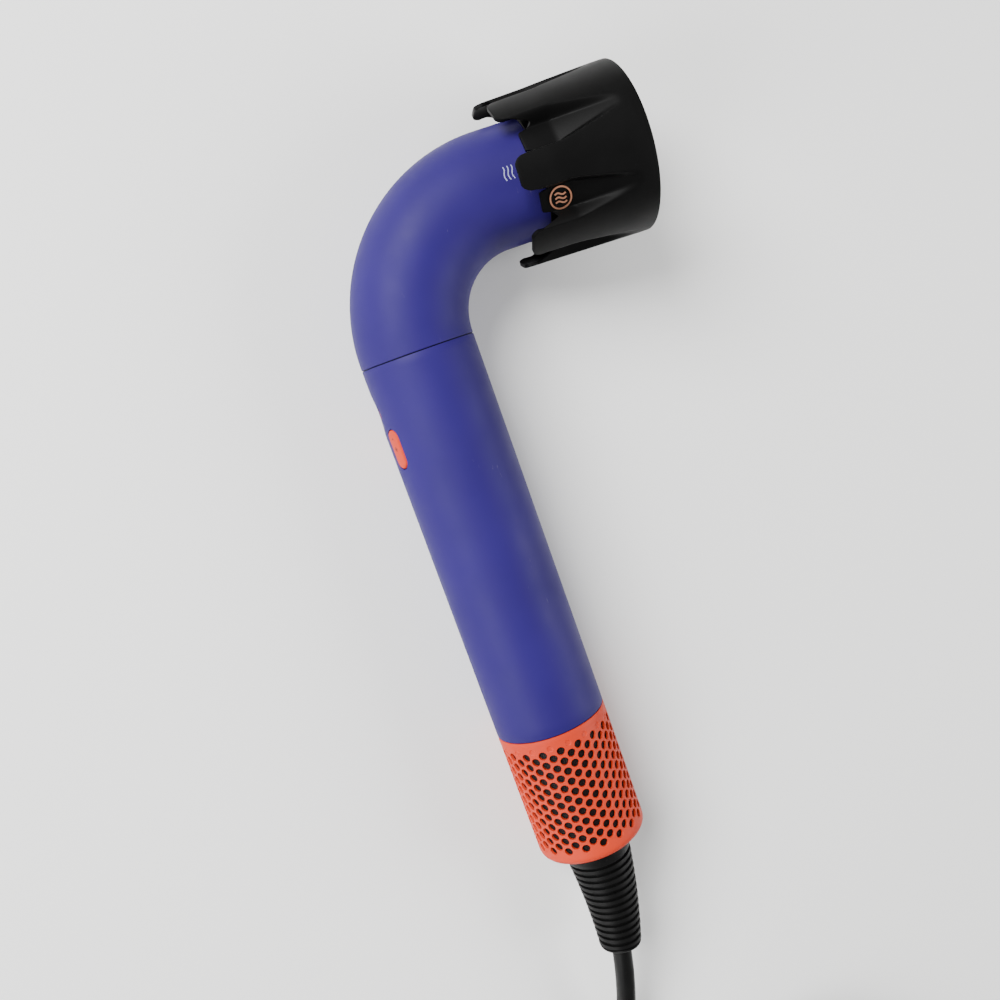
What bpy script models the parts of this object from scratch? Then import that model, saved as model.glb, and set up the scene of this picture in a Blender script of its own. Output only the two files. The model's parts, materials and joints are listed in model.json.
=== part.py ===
"""A pipe-shaped travel hair dryer, lying on its side with its lead coiled up.

The handset is modelled in its own frame: +Y runs up the handle, +X is the way the air leaves,
+Z faces away from the surface it lies on, and the origin is on the handle's axis at the seam
between the handle and the neck. Everything in that frame hangs from one empty, which lays the
handle on the floor and rolls it until the attachment touches down as well.
Units are metres.
"""
import math

import bmesh
import bpy
from mathutils import Matrix, Vector

# ---------------------------------------------------------------- driving dimensions
GAP = 0.0003                    # between pieces that touch

TUBE_R = 0.0190                 # handle, bend and nozzle share one outer diameter
WALL = 0.0020
BORE_R = TUBE_R - WALL
SEAM = 0.00015                  # half the joint line between the handle and the neck
HANDLE_LENGTH = 0.1304
BEND_START = 0.0006
BEND_R = 0.0396                 # centre line of the bend
NECK_STRAIGHT = 0.0240          # straight stretch past the bend
NOZZLE_X = BEND_R
NOZZLE_Y = BEND_START + BEND_R

CAGE_TOP = -HANDLE_LENGTH - GAP
CAGE_LENGTH = 0.0463
CAGE_BOTTOM = CAGE_TOP - CAGE_LENGTH
CAGE_EDGE_R = 0.0031            # rounding of the bottom edge
CAGE_MOUTH_R = 0.0156           # hole in the bottom, which clears the cap on the way down

CAP_R = 0.0152
FRAME_R = 0.0146                # inside of the frame that carries the mesh
CAP_BOTTOM = CAGE_BOTTOM - 0.0010
FLANGE_R = 0.0119               # top of the strain relief
RELIEF_TIP_R = 0.0073
RELIEF_COLLAR = 0.0051          # plain stretch above the ribs
RELIEF_LENGTH = 0.0407
RELIEF_SWAY = 0.0038            # how far its tip has bent to the back
RELIEF_RIBS = 13

FINGERS = 7                     # lobes of the attachment
FINGER_TURN = 4.0               # the front lobe's angle from +Z towards the handle, in degrees
CUP_BACK_R = 0.0264
CUP_RIM_R = 0.0276
CUP_RIM_X = 0.0468              # measured from the end of the bend, as are the next six
CUP_LEVEL_X = 0.0440            # the wall is level from here to the rim
CUP_TIP_X = 0.0040
CUP_VALLEY_X = 0.0098
CUP_NOTCH_X = 0.0143
CUP_FLAT_X = 0.0200             # the flutes' floors are level up to here
CUP_FADE_X = 0.0410             # where the flutes have run out
CUP_FLUTE = 0.0048              # depth of a flute at the back
CUP_WALL = 0.0012

POWER_Y = -0.0146               # buttons, on the back of the handle
PILL_Y = -0.0267
PILL_ANGLE = 66.5               # from +Z towards the back; the far one mirrors it
PILL_LENGTH = 0.0130
PILL_WIDTH = 0.0057
DISH_R = 0.0216
DISH_DEPTH = 0.0010

MOTOR_R = 0.0136
SHAFT_R = 0.0015
BLADES = 7

CORD_D = 0.0070
COIL_LIFT = 0.0009              # the tie passes under the coil
COIL_INNER_R = 0.0297
COIL_OUTER_R = 0.0560
COIL_CENTRE = (0.0050, -0.2720)
PLUG_START_Y = -0.3170
PLUG_AXIS_Z = 0.0120

HANDSET_X = -0.0352             # puts the origin under the middle of the dryer
HANDSET_Y = 0.0762

# The lead from the strain relief to the coil: the floor is at z = 0.
CORD_ROUTE = [
    (-0.0390, -0.1431, 0.0184), (-0.0408, -0.1525, 0.0178), (-0.0430, -0.1635, 0.0156),
    (-0.0450, -0.1745, 0.0117), (-0.0464, -0.1850, 0.0077), (-0.0472, -0.1960, 0.0050),
    (-0.0476, -0.2070, 0.0041), (-0.0475, -0.2184, 0.0042), (-0.0475, -0.2310, 0.0043),
    (-0.0475, -0.2442, 0.0044),
]

BLUE = (0.055, 0.050, 0.235)
CORAL = (0.83, 0.17, 0.075)
BLACK = (0.012, 0.012, 0.013)
GREY = (0.35, 0.35, 0.36)
COPPER = (0.72, 0.36, 0.22)


# ---------------------------------------------------------------- small helpers
def clear_scene():
    for thing in list(bpy.data.objects):
        bpy.data.objects.remove(thing, do_unlink=True)


def new_collection(name):
    group = bpy.data.collections.new(name)
    bpy.context.scene.collection.children.link(group)
    return group


def material(name, colour, roughness=0.5, metallic=0.0):
    made = bpy.data.materials.new(name)
    made.use_nodes = True
    shader = made.node_tree.nodes["Principled BSDF"]
    shader.inputs["Base Color"].default_value = (*colour, 1.0)
    shader.inputs["Roughness"].default_value = roughness
    shader.inputs["Metallic"].default_value = metallic
    made.diffuse_color = (*colour, 1.0)
    return made


def empty(name, parent=None, location=(0, 0, 0), rotation=(0, 0, 0)):
    made = bpy.data.objects.new(name, None)
    made.location = location
    made.rotation_euler = rotation
    made.parent = parent
    PARTS.objects.link(made)
    return made


def place(name, mesh, finish, parent=None, location=(0, 0, 0), rotation=(0, 0, 0)):
    """Make a mesh an object of the dryer, with its material and its place under a parent."""
    made = bpy.data.objects.new(name, mesh)
    made.location = location
    made.rotation_euler = rotation
    made.parent = parent
    if finish is None:
        CUTTERS.objects.link(made)
        made.hide_render = True
        made.display_type = "WIRE"
    else:
        mesh.materials.clear()
        mesh.materials.append(finish)
        PARTS.objects.link(made)
    return made


def cut(target, cutter, operation="DIFFERENCE"):
    boolean = target.modifiers.new("Cut", "BOOLEAN")
    boolean.operation = operation
    boolean.object = cutter
    boolean.solver = "EXACT"


def smooth(value):
    value = min(max(value, 0.0), 1.0)
    return value * value * (3.0 - 2.0 * value)


def arc(centre, radius, start, end, count):
    """Points on an arc in the plane of (radius, height); angles in degrees."""
    angles = [math.radians(start + (end - start) * i / count) for i in range(count + 1)]
    return [(centre[0] + radius * math.cos(a), centre[1] + radius * math.sin(a)) for a in angles]


def ring_outline(inner, outer, bottom, top):
    return [(inner, top), (outer, top), (outer, bottom), (inner, bottom)]


def turned(name, outline, finish, parent, steps=24):
    """Spin an outline of (radius, height) points about the parent's Z.

    The outline runs down its outer side. It is closed into a ring unless it starts on the axis.
    """
    mesh = bpy.data.meshes.new(name)
    points = [(radius, 0.0, height) for radius, height in outline]
    edges = [(i, i + 1) for i in range(len(points) - 1)]
    if outline[0][0] > 0:
        edges.append((len(points) - 1, 0))
    mesh.from_pydata(points, edges, [])
    made = place(name, mesh, finish, parent)
    screw = made.modifiers.new("Turn", "SCREW")
    screw.steps = steps
    screw.render_steps = steps
    screw.use_merge_vertices = True
    screw.merge_threshold = 0.00001
    return made


def ring(name, inner, outer, bottom, top, finish, parent, steps=24):
    return turned(name, ring_outline(inner, outer, bottom, top), finish, parent, steps)


def rod(name, radius, bottom, top, finish, parent, steps=24):
    return turned(name, [(0, top), (radius, top), (radius, bottom), (0, bottom)], finish, parent, steps)


def box(name, low, high, finish, parent=None):
    """A box between two corners, in its parent's frame."""
    build = bmesh.new()
    bmesh.ops.create_cube(build, size=1.0)
    size = [b - a for a, b in zip(low, high)]
    middle = [(a + b) / 2 for a, b in zip(low, high)]
    bmesh.ops.scale(build, vec=size, verts=build.verts)
    mesh = bpy.data.meshes.new(name)
    build.to_mesh(mesh)
    build.free()
    return place(name, mesh, finish, parent, middle)


def swept(name, points, finish, radius, parent=None, sides=8, radii=None, keep_open=False):
    """A round tube along points, made a mesh with welded caps."""
    curve = bpy.data.curves.new(name, "CURVE")
    curve.dimensions = "3D"
    curve.bevel_depth = radius
    curve.bevel_resolution = sides // 2 - 2
    curve.use_fill_caps = not keep_open
    spline = curve.splines.new("POLY")
    spline.points.add(len(points) - 1)
    for i, point in enumerate(points):
        spline.points[i].co = (*point, 1.0)
        spline.points[i].radius = radii[i] / radius if radii else 1.0
    guide = bpy.data.objects.new(name + "_path", curve)
    bpy.context.scene.collection.objects.link(guide)
    seen = guide.evaluated_get(bpy.context.evaluated_depsgraph_get())
    mesh = bpy.data.meshes.new_from_object(seen)
    bpy.data.objects.remove(guide)
    build = bmesh.new()
    build.from_mesh(mesh)
    bmesh.ops.remove_doubles(build, verts=build.verts, dist=0.00001)
    build.to_mesh(mesh)
    build.free()
    return place(name, mesh, finish, parent)


def smooth_path(points, spacing):
    """Evenly spaced points on a Catmull-Rom curve through the given points."""
    route = [Vector(p) for p in points]
    ends = [2 * route[0] - route[1]] + route + [2 * route[-1] - route[-2]]
    fine = []
    for a, b, c, d in zip(ends, ends[1:], ends[2:], ends[3:]):
        for i in range(20):
            t = i / 20
            fine.append(0.5 * (2 * b + (c - a) * t + (2 * a - 5 * b + 4 * c - d) * t * t
                               + (3 * b - a - 3 * c + d) * t ** 3))
    fine.append(route[-1])
    length = sum((b - a).length for a, b in zip(fine, fine[1:]))
    count = max(2, round(length / spacing))
    path, travelled, target = [fine[0]], 0.0, length / count
    for a, b in zip(fine, fine[1:]):
        step = (b - a).length
        while travelled + step >= target - 1e-9 and len(path) < count:
            path.append(a.lerp(b, (target - travelled) / step))
            target += length / count
        travelled += step
    path.append(fine[-1])
    return path


def lofted(name, sections, finish, parent=None, location=(0, 0, 0), rotation=(0, 0, 0)):
    """Skin a stack of closed sections that have the same number of points, and cap both ends.

    Each section runs anticlockwise seen from the top of the stack, and the first is the bottom.
    """
    build = bmesh.new()
    rows = [[build.verts.new(p) for p in section] for section in sections]
    for low, high in zip(rows, rows[1:]):
        for i in range(len(low)):
            j = (i + 1) % len(low)
            build.faces.new((low[i], low[j], high[j], high[i]))
    build.faces.new(rows[0][::-1])
    build.faces.new(rows[-1])
    mesh = bpy.data.meshes.new(name)
    build.to_mesh(mesh)
    build.free()
    return place(name, mesh, finish, parent, location, rotation)


def pill_section(length, width, height, sides=8):
    """A slot-shaped outline with round ends, long along Y."""
    radius = width / 2
    reach = length / 2 - radius
    points = []
    for end, first in ((1, 0), (-1, 180)):
        for i in range(sides + 1):
            angle = math.radians(first + 180 * i / sides)
            points.append((radius * math.cos(angle), end * reach + radius * math.sin(angle), height))
    return points


# ---------------------------------------------------------------- the attachment's own shape
def cup_edge(offset):
    """How far forward the cup's back edge lies, at an angle in degrees from a finger's middle."""
    away = abs(offset)
    corner = CUP_TIP_X + 0.0040
    if away <= 12:
        turn = max(0.0, (away - 6) / 6)
        return CUP_TIP_X + 0.0040 * (1 - math.sqrt(1 - turn * turn))
    if away <= 14.4:
        return corner + (CUP_NOTCH_X - corner) * smooth((away - 12) / 2.4)
    return CUP_NOTCH_X + (CUP_VALLEY_X - CUP_NOTCH_X) * smooth((away - 14.4) / 3.6)


def cup_radius(offset, x):
    """Outer radius of the cup, with flutes between the fingers that narrow and rise to the front."""
    lobe = CUP_BACK_R + (CUP_RIM_R - CUP_BACK_R) * min(x / CUP_LEVEL_X, 1.0)
    run = min(max((x - CUP_FLAT_X) / (CUP_FADE_X - CUP_FLAT_X), 0.0), 1.0)
    return lobe - CUP_FLUTE * (1 - run) * smooth((abs(offset) - 11.5 - 9.0 * run) / 4.5)


def lowest_of_cup(lean):
    """Height of the cup's lowest edge point over the floor at a given roll of the handset."""
    heights = []
    for finger in range(FINGERS):
        for offset in range(-16, 17):
            angle = math.radians(FINGER_TURN + finger * 360 / FINGERS + offset)
            x = cup_edge(offset)
            reach = (NOZZLE_X + x) * math.sin(lean)
            heights.append(TUBE_R + reach + cup_radius(offset, x) * math.cos(angle) * math.cos(lean))
    return min(heights)


def rest_lean():
    """The roll about the handle's axis at which the cup's fingers reach the floor."""
    low, high = 0.0, math.radians(20)
    for _ in range(40):
        middle = (low + high) / 2
        if lowest_of_cup(middle) < 0:
            low = middle
        else:
            high = middle
    return high


# ---------------------------------------------------------------- casings
def make_handle(axis, back):
    outline = [(BORE_R, -SEAM), (TUBE_R - 0.0003, -SEAM), (TUBE_R, -SEAM - 0.0003),
               (TUBE_R, -HANDLE_LENGTH + 0.0003), (TUBE_R - 0.0003, -HANDLE_LENGTH),
               (BORE_R, -HANDLE_LENGTH)]
    shell = turned("handle_shell", outline, FINISH["shell"], axis, 48)
    dish = bmesh.new()
    bmesh.ops.create_uvsphere(dish, u_segments=64, v_segments=48, radius=DISH_R)
    mesh = bpy.data.meshes.new("dish_cutter")
    dish.to_mesh(mesh)
    dish.free()
    depth = TUBE_R - DISH_DEPTH + DISH_R
    cut(shell, place("dish_cutter", mesh, None, axis, (-depth, 0, POWER_Y)))
    cut(shell, rod("power_hole_cutter", 0.0034, 0.0140, 0.0210, None, back["power"]))
    for side in ("near", "far"):
        sections = [pill_section(PILL_LENGTH + 2 * GAP, PILL_WIDTH + 2 * GAP, h) for h in (0.0140, 0.0215)]
        cut(shell, lofted("pill_cutter_" + side, sections, None, back[side]))


def make_neck(frame):
    path = [(0, SEAM, 0)]
    for degrees in [0, 1.5] + [10 * i for i in range(1, 10)]:
        angle = math.radians(degrees)
        path.append((BEND_R * (1 - math.cos(angle)), BEND_START + BEND_R * math.sin(angle), 0))
    path.append((NOZZLE_X + NECK_STRAIGHT, NOZZLE_Y, 0))
    neck = swept("neck_shell", path, FINISH["shell"], TUBE_R, frame, sides=32, keep_open=True)
    wall = neck.modifiers.new("Wall", "SOLIDIFY")
    wall.thickness = WALL
    wall.offset = -1


def make_inlet(axis):
    top = CAGE_TOP
    outline = [(CAGE_MOUTH_R + 0.0012, top), (TUBE_R, top)]
    outline += arc((TUBE_R - CAGE_EDGE_R, CAGE_BOTTOM + CAGE_EDGE_R), CAGE_EDGE_R, 0, -90, 4)
    outline += [(CAGE_MOUTH_R, CAGE_BOTTOM), (CAGE_MOUTH_R, CAGE_BOTTOM + 0.0016),
                (CAGE_MOUTH_R + 0.0012, CAGE_BOTTOM + 0.0026)]
    turned("filter_cage", outline, FINISH["accent"], axis, 36)

    outline = [(FRAME_R, top + 0.0080), (0.0167, top + 0.0080), (0.0167, top + 0.0006),
               (CAP_R, top + 0.0006), (CAP_R, CAGE_BOTTOM + 0.0022), (FRAME_R, CAGE_BOTTOM + 0.0022)]
    holder = turned("inlet_frame", outline, FINISH["black"], axis)
    for i in range(3):
        low = (-0.0200, -0.0062, CAGE_BOTTOM + 0.0060)
        high = (0.0200, 0.0062, top - 0.0040)
        window = box("window_cutter_%d" % (i + 1), low, high, None, axis)
        window.rotation_euler = (0, 0, math.radians(60 * i))
        cut(holder, window)
    ring("inlet_mesh", FRAME_R - 0.0008, FRAME_R - GAP, CAGE_BOTTOM + 0.0030, top - 0.0010, FINISH["steel"], axis)

    outline = [(0.0067, CAGE_BOTTOM + 0.0018), (CAP_R, CAGE_BOTTOM + 0.0018),
               (CAP_R, CAP_BOTTOM + 0.0003), (CAP_R - 0.0003, CAP_BOTTOM), (FLANGE_R + 0.0006, CAP_BOTTOM),
               (FLANGE_R + 0.0004, CAP_BOTTOM + 0.0004), (0.0067, CAP_BOTTOM + 0.0004)]
    turned("base_cap", outline, FINISH["black"], axis)


def relief_point(t):
    """The strain relief's centre line in the handset's frame, t from the flange to the tip."""
    return (-RELIEF_SWAY * t * t, CAP_BOTTOM - GAP - RELIEF_LENGTH * t, 0.0)


def make_strain_relief(frame):
    points = [(0, CAP_BOTTOM + 0.0062, 0), (0, CAP_BOTTOM - GAP + 0.00005, 0)]
    radii = [0.0062, 0.0062]
    collar = RELIEF_COLLAR / RELIEF_LENGTH
    points += [relief_point(0), relief_point(collar)]
    radii += [FLANGE_R, FLANGE_R - 0.0004]
    for i in range(2 * RELIEF_RIBS):
        t = collar + (1 - collar) * (i + 0.8) / (2 * RELIEF_RIBS)
        crest = FLANGE_R + (RELIEF_TIP_R - FLANGE_R) * t
        points.append(relief_point(t))
        radii.append(crest - (0.0009 if i % 2 == 0 else 0.0))
    points.append(relief_point(1.0))
    radii.append(RELIEF_TIP_R - 0.0010)
    swept("strain_relief", points, FINISH["rubber"], FLANGE_R, frame, sides=12, radii=radii)


def make_cord_clamp(axis):
    top = CAP_BOTTOM + 0.0062 + GAP
    ring("cord_clamp", 0.0024, 0.0100, top, top + 0.0040, FINISH["black"], axis)
    for side, x in (("left", -0.0115), ("right", 0.0115)):
        outline = [(0, 0.0045), (0.0010, 0.0045), (0.0010, 0.0012), (0.0019, 0.0012), (0.0019, 0), (0, 0)]
        screw = turned("clamp_screw_" + side, outline, FINISH["steel"], axis, 12)
        screw.location = (x, 0, CAGE_BOTTOM + 0.0018 + GAP)


# ---------------------------------------------------------------- controls
def make_pill(name, seat):
    """A slot-shaped button with a flange behind the wall and a plunger for its switch.

    Heights are measured from the handle's axis.
    """
    length, width, top, bottom = PILL_LENGTH, PILL_WIDTH, TUBE_R + 0.0003, 0.0153
    flange = 0.0012
    inside = BORE_R - 0.0006
    sections = [
        pill_section(0.0024, 0.0020, bottom - 0.0007),
        pill_section(0.0024, 0.0020, bottom - 0.0001),
        pill_section(length + flange, width + flange, bottom),
        pill_section(length + flange, width + flange, inside - 0.0005),
        pill_section(length, width, inside - 0.0003),
        pill_section(length, width, top - 0.0006),
        pill_section(length - 0.0004, width - 0.0004, top - 0.0002),
        pill_section(length - 0.0014, width - 0.0014, top),
    ]
    lofted(name, sections, FINISH["accent"], seat)


def make_controls(frame, back):
    top = TUBE_R - DISH_DEPTH + 0.0002
    outline = [(0, top), (0.0026, top), (0.0031, top - 0.0004), (0.0031, 0.0163), (0.0037, 0.0163),
               (0.0037, 0.0148), (0.0011, 0.0148), (0.0011, 0.0127), (0, 0.0127)]
    turned("power_button", outline, FINISH["accent"], back["power"])
    make_pill("speed_button", back["near"])
    make_pill("heat_button", back["far"])
    box("control_board", (-0.0102, -0.0440, -0.0112), (-0.0092, -0.0085, 0.0112), FINISH["board"], frame)
    for name, y, z in (("power_switch", POWER_Y, 0), ("speed_switch", PILL_Y, 0.0058),
                       ("heat_switch", PILL_Y, -0.0058)):
        low = (-0.0121, y - 0.0020, z - 0.0020)
        box(name, low, (-0.0105, y + 0.0020, z + 0.0020), FINISH["black"], frame)


# ---------------------------------------------------------------- motor and power
def make_motor(axis):
    ring("motor_housing", 0.0128, MOTOR_R, -0.1220, -0.0920, FINISH["black"], axis)
    notch = box("mount_notch_cutter", (0.0100, -0.0050, -0.1250), (0.0200, 0.0050, -0.0850), None, axis)
    for name, low in (("lower_rubber_mount", -0.1200), ("upper_rubber_mount", -0.0980)):
        cut(ring(name, MOTOR_R + GAP, 0.0167, low, low + 0.0040, FINISH["rubber"], axis), notch)

    hub = ring("guide_vanes", 0.0079, 0.0086, -0.1090, -0.0950, FINISH["black"], axis)
    fan = turned("impeller", [(SHAFT_R + GAP, -0.1115), (0.0062, -0.1115), (0.0030, -0.1190),
                              (SHAFT_R + GAP, -0.1190)], FINISH["grey"], axis)
    for i in range(BLADES):
        turn = 2 * math.pi * i / BLADES
        number = str(i + 1)
        vane = box("vane_cutter_" + number, (0.0082, -0.0005, -0.1085), (0.0125, 0.0005, -0.0970),
                   None, axis)
        blade = box("blade_cutter_" + number, (0.0032, -0.0004, -0.1180), (0.0122, 0.0004, -0.1120),
                    None, axis)
        for piece, slant, owner in ((vane, 0.30, hub), (blade, 0.55, fan)):
            piece.location = Matrix.Rotation(turn, 3, "Z") @ piece.location
            piece.rotation_euler = (slant, 0, turn)
            cut(owner, piece, "UNION")

    rod("rotor_shaft", SHAFT_R, -0.1195, -0.0945, FINISH["steel"], axis)
    ring("rotor_magnet", SHAFT_R + GAP, 0.0038, -0.1070, -0.0980, FINISH["steel"], axis)
    ring("motor_stator", 0.0042, 0.0076, -0.1068, -0.0982, FINISH["copper"], axis)
    for name, low in (("lower_bearing", -0.1098), ("upper_bearing", -0.0972)):
        ring(name, SHAFT_R + GAP, 0.0040, low, low + 0.0020, FINISH["steel"], axis)
        ring(name + "_plate", 0.0043, 0.0076, low, low + 0.0015, FINISH["black"], axis)


def make_power(frame):
    box("power_board", (0.0040, -0.0880, -0.0120), (0.0052, -0.0520, 0.0120), FINISH["board"], frame)
    capacitor = rod("mains_capacitor", 0.0048, 0, 0.0190, FINISH["black"], frame)
    capacitor.location = (0.0104, -0.0840, 0)
    capacitor.rotation_euler = (math.radians(-90), 0, 0)


def make_heater(nozzle):
    ring("heater_liner", 0.0160, 0.0166, 0.0010, 0.0172, FINISH["mica"], nozzle)
    frame = box("heater_frame", (-0.0115, -0.0005, 0.0010), (0.0115, 0.0005, 0.0165), FINISH["mica"], nozzle)
    across = box("heater_cross_cutter", (-0.0005, -0.0115, 0.0010), (0.0005, 0.0115, 0.0165), None, nozzle)
    cut(frame, across, "UNION")
    turns, per_turn = 4, 10
    helix = []
    for i in range(turns * per_turn + 1):
        angle = 2 * math.pi * i / per_turn
        height = 0.0030 + 0.0120 * i / (turns * per_turn)
        helix.append((0.0134 * math.cos(angle), 0.0134 * math.sin(angle), height))
    swept("heater_coil", helix, FINISH["steel"], 0.0005, nozzle, sides=6)
    cutout = rod("thermal_cutout", 0.0016, 0.0040, 0.0100, FINISH["steel"], nozzle, 12)
    cutout.location = (0.0050, 0.0050, 0)
    bead = rod("thermistor", 0.0009, 0.0130, 0.0155, FINISH["copper"], nozzle, 10)
    bead.location = (-0.0050, 0.0050, 0)


def make_outlet(nozzle):
    ring("outlet_ring", 0.0156, 0.0167, 0.0178, NECK_STRAIGHT - 0.0003, FINISH["aluminium"], nozzle)
    grille = turned("outlet_grille", [(0, 0.0222), (0.0152, 0.0222), (0.0152, 0.0208), (0, 0.0208)],
                    FINISH["black"], nozzle)
    holes = bmesh.new()
    for row, count in ((0.0050, 6), (0.0105, 12)):
        for i in range(count):
            made = bmesh.ops.create_cone(holes, cap_ends=True, segments=6, radius1=0.0019,
                                         radius2=0.0019, depth=0.0040)
            angle = 2 * math.pi * i / count
            bmesh.ops.translate(holes, vec=(row * math.cos(angle), row * math.sin(angle), 0.0215),
                                verts=made["verts"])
    mesh = bpy.data.meshes.new("grille_hole_cutter")
    holes.to_mesh(mesh)
    holes.free()
    cut(grille, place("grille_hole_cutter", mesh, None, nozzle))


def make_seam_collar(axis):
    ring("seam_collar", 0.0155, BORE_R - GAP, -0.0060, 0.0030, FINISH["black"], axis)


# ---------------------------------------------------------------- the attachment
def make_coupler(nozzle):
    outline = [(TUBE_R + GAP, 0.0130), (TUBE_R + GAP, NECK_STRAIGHT + GAP), (0.0165, NECK_STRAIGHT + GAP),
               (0.0165, NECK_STRAIGHT + 0.0022), (0.0200, NECK_STRAIGHT + 0.0022), (0.0200, 0.0130)]
    turned("coupler_ring", outline, FINISH["black"], nozzle)
    low = NECK_STRAIGHT + 0.0025
    ring("coupler_magnet", 0.0170, 0.0198, low, low + 0.0020, FINISH["steel"], nozzle)


def make_cup(nozzle):
    offsets = [0, 8, 11, 12, 13.2, 14.4, 16, 18]
    period = 360 / FINGERS
    angles = []
    for finger in range(FINGERS):
        for offset in [-o for o in offsets[:0:-1]] + offsets:
            angles.append((FINGER_TURN + finger * period + offset, offset))
        angles.append((FINGER_TURN + (finger + 0.5) * period, period / 2))
    stations = [0, 0.28, 0.48, 0.72, 0.96, 1.0]
    build = bmesh.new()
    rows = []
    for share in stations:
        row = []
        for angle, offset in angles:
            edge = cup_edge(offset)
            x = edge + (CUP_RIM_X - edge) * share
            radius = cup_radius(offset, x)
            turn = math.radians(angle)
            row.append(build.verts.new((-radius * math.cos(turn), -radius * math.sin(turn), x)))
        rows.append(row)
    for low, high in zip(rows, rows[1:]):
        for i in range(len(low)):
            j = (i + 1) % len(low)
            build.faces.new((low[i], low[j], high[j], high[i]))
    mesh = bpy.data.meshes.new("attachment_cup")
    build.to_mesh(mesh)
    build.free()
    cup = place("attachment_cup", mesh, FINISH["black"], nozzle)
    wall = cup.modifiers.new("Wall", "SOLIDIFY")
    wall.thickness = CUP_WALL
    wall.offset = -1

    retainer = ring("cup_retainer", 0.0170, 0.0205, 0.0288, 0.0304, FINISH["black"], nozzle)
    for finger in range(FINGERS):
        turn = math.pi + math.radians(FINGER_TURN + (finger + 0.5) * period)
        spoke = box("spoke_cutter_%d" % (finger + 1), (0.0200, -0.0008, 0.0288),
                    (0.0229, 0.0008, 0.0304), None, nozzle)
        spoke.location = Matrix.Rotation(turn, 3, "Z") @ spoke.location
        spoke.rotation_euler = (0, 0, turn)
        cut(retainer, spoke, "UNION")

    badge_angle = math.radians(FINGER_TURN + period / 2)
    badge_x = 0.0160
    radius = cup_radius(period / 2, badge_x) + GAP
    seat = empty("badge_seat", nozzle, (0, 0, badge_x), (0, 0, math.pi + badge_angle))
    badge = rod("attachment_badge", 0.0038, radius + 0.0001, radius + 0.0007, FINISH["copper"], seat, 20)
    badge.rotation_euler = (0, math.radians(90), 0)


# ---------------------------------------------------------------- the lead
def make_cord():
    path = smooth_path(CORD_ROUTE, 0.0150 / 2)
    swept("cord_lead", path, FINISH["rubber"], CORD_D / 2, sides=8)

    centre = empty("coil_centre", None, (*COIL_CENTRE, COIL_LIFT))
    height = 2 * CORD_D
    corner = 0.0020
    outline = [(COIL_INNER_R, height), (COIL_OUTER_R - corner, height)]
    outline += arc((COIL_OUTER_R - corner, height - corner), corner, 60, 0, 2)
    outline += arc((COIL_OUTER_R - corner, corner), corner, 0, -90, 3)
    outline += [(COIL_INNER_R, 0)]
    turned("cord_coil", outline, FINISH["rubber"], centre, 36)

    tie_at = empty("tie_seat", centre, (0, 0, 0), (0, 0, math.radians(-90)))
    tie = box("cord_tie", (COIL_INNER_R - 0.0014, -0.0050, -COIL_LIFT),
              (COIL_OUTER_R + 0.0009, 0.0050, height + 0.0009), FINISH["fabric"], tie_at)
    inside = box("tie_cutter", (COIL_INNER_R - 0.0008, -0.0100, -0.0003),
                 (COIL_OUTER_R + 0.0003, 0.0100, height + 0.0003), None, tie_at)
    cut(tie, inside)

    plug_x = COIL_CENTRE[0] - COIL_OUTER_R + CORD_D / 2
    tail_z = COIL_LIFT + 1.5 * CORD_D
    tail = [(plug_x, COIL_CENTRE[1] - 0.0278, tail_z), (plug_x, PLUG_START_Y + 0.0080, tail_z + 0.0002),
            (plug_x, PLUG_START_Y + GAP, PLUG_AXIS_Z)]
    swept("cord_tail", tail, FINISH["rubber"], CORD_D / 2, sides=8)
    make_plug(plug_x)


def make_plug(plug_x):
    """A flat two-pin plug lying on the floor, its pins pointing away from the dryer."""
    seat = empty("plug_seat", None, (plug_x, PLUG_START_Y, PLUG_AXIS_Z), (math.radians(90), 0, 0))
    stack = [(0, 0.0050, 0.0050), (0.0160, 0.0062, 0.0060), (0.0220, 0.0110, 0.0085),
             (0.0290, 0.0168, 0.0112), (0.0400, 0.0178, 0.0120), (0.0520, 0.0178, 0.0120),
             (0.0540, 0.0172, 0.0114)]
    sections = []
    for height, half_wide, half_thick in stack:
        section = []
        for i in range(20):
            angle = 2 * math.pi * i / 20
            c, s = math.cos(angle), math.sin(angle)
            x = half_wide * math.copysign(abs(c) ** 0.75, c)
            y = half_thick * math.copysign(abs(s) ** 0.75, s)
            section.append((x, y, height))
        sections.append(section)
    lofted("plug_body", sections, FINISH["rubber"], seat)
    for side, x in (("left", -0.0095), ("right", 0.0095)):
        foot = 0.0540 + GAP
        top = foot + 0.0190
        outline = [(0, top), (0.0014, top), (0.0024, top - 0.0012), (0.0024, foot), (0, foot)]
        pin = turned("plug_pin_" + side, outline, FINISH["steel"], seat, 16)
        pin.location = (x, 0, 0)


# ---------------------------------------------------------------- the whole
def main():
    lean = rest_lean()
    handset = empty("handset", None, (HANDSET_X, HANDSET_Y, TUBE_R), (0, -lean, 0))
    handle_axis = empty("handle_axis", handset, (0, 0, 0), (math.radians(-90), 0, 0))
    nozzle_axis = empty("nozzle_axis", handset, (NOZZLE_X, NOZZLE_Y, 0), (0, math.radians(90), 0))
    back = {}
    for name, y, angle in (("power", POWER_Y, 90), ("near", PILL_Y, PILL_ANGLE),
                           ("far", PILL_Y, 180 - PILL_ANGLE)):
        back[name] = empty("seat_" + name, handset, (0, y, 0), (0, math.radians(-angle), 0))

    make_handle(handle_axis, back)
    make_neck(handset)
    make_seam_collar(handle_axis)
    make_inlet(handle_axis)
    make_strain_relief(handset)
    make_cord_clamp(handle_axis)
    make_controls(handset, back)
    make_motor(handle_axis)
    make_power(handset)
    make_heater(nozzle_axis)
    make_outlet(nozzle_axis)
    make_coupler(nozzle_axis)
    make_cup(nozzle_axis)
    make_cord()


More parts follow.
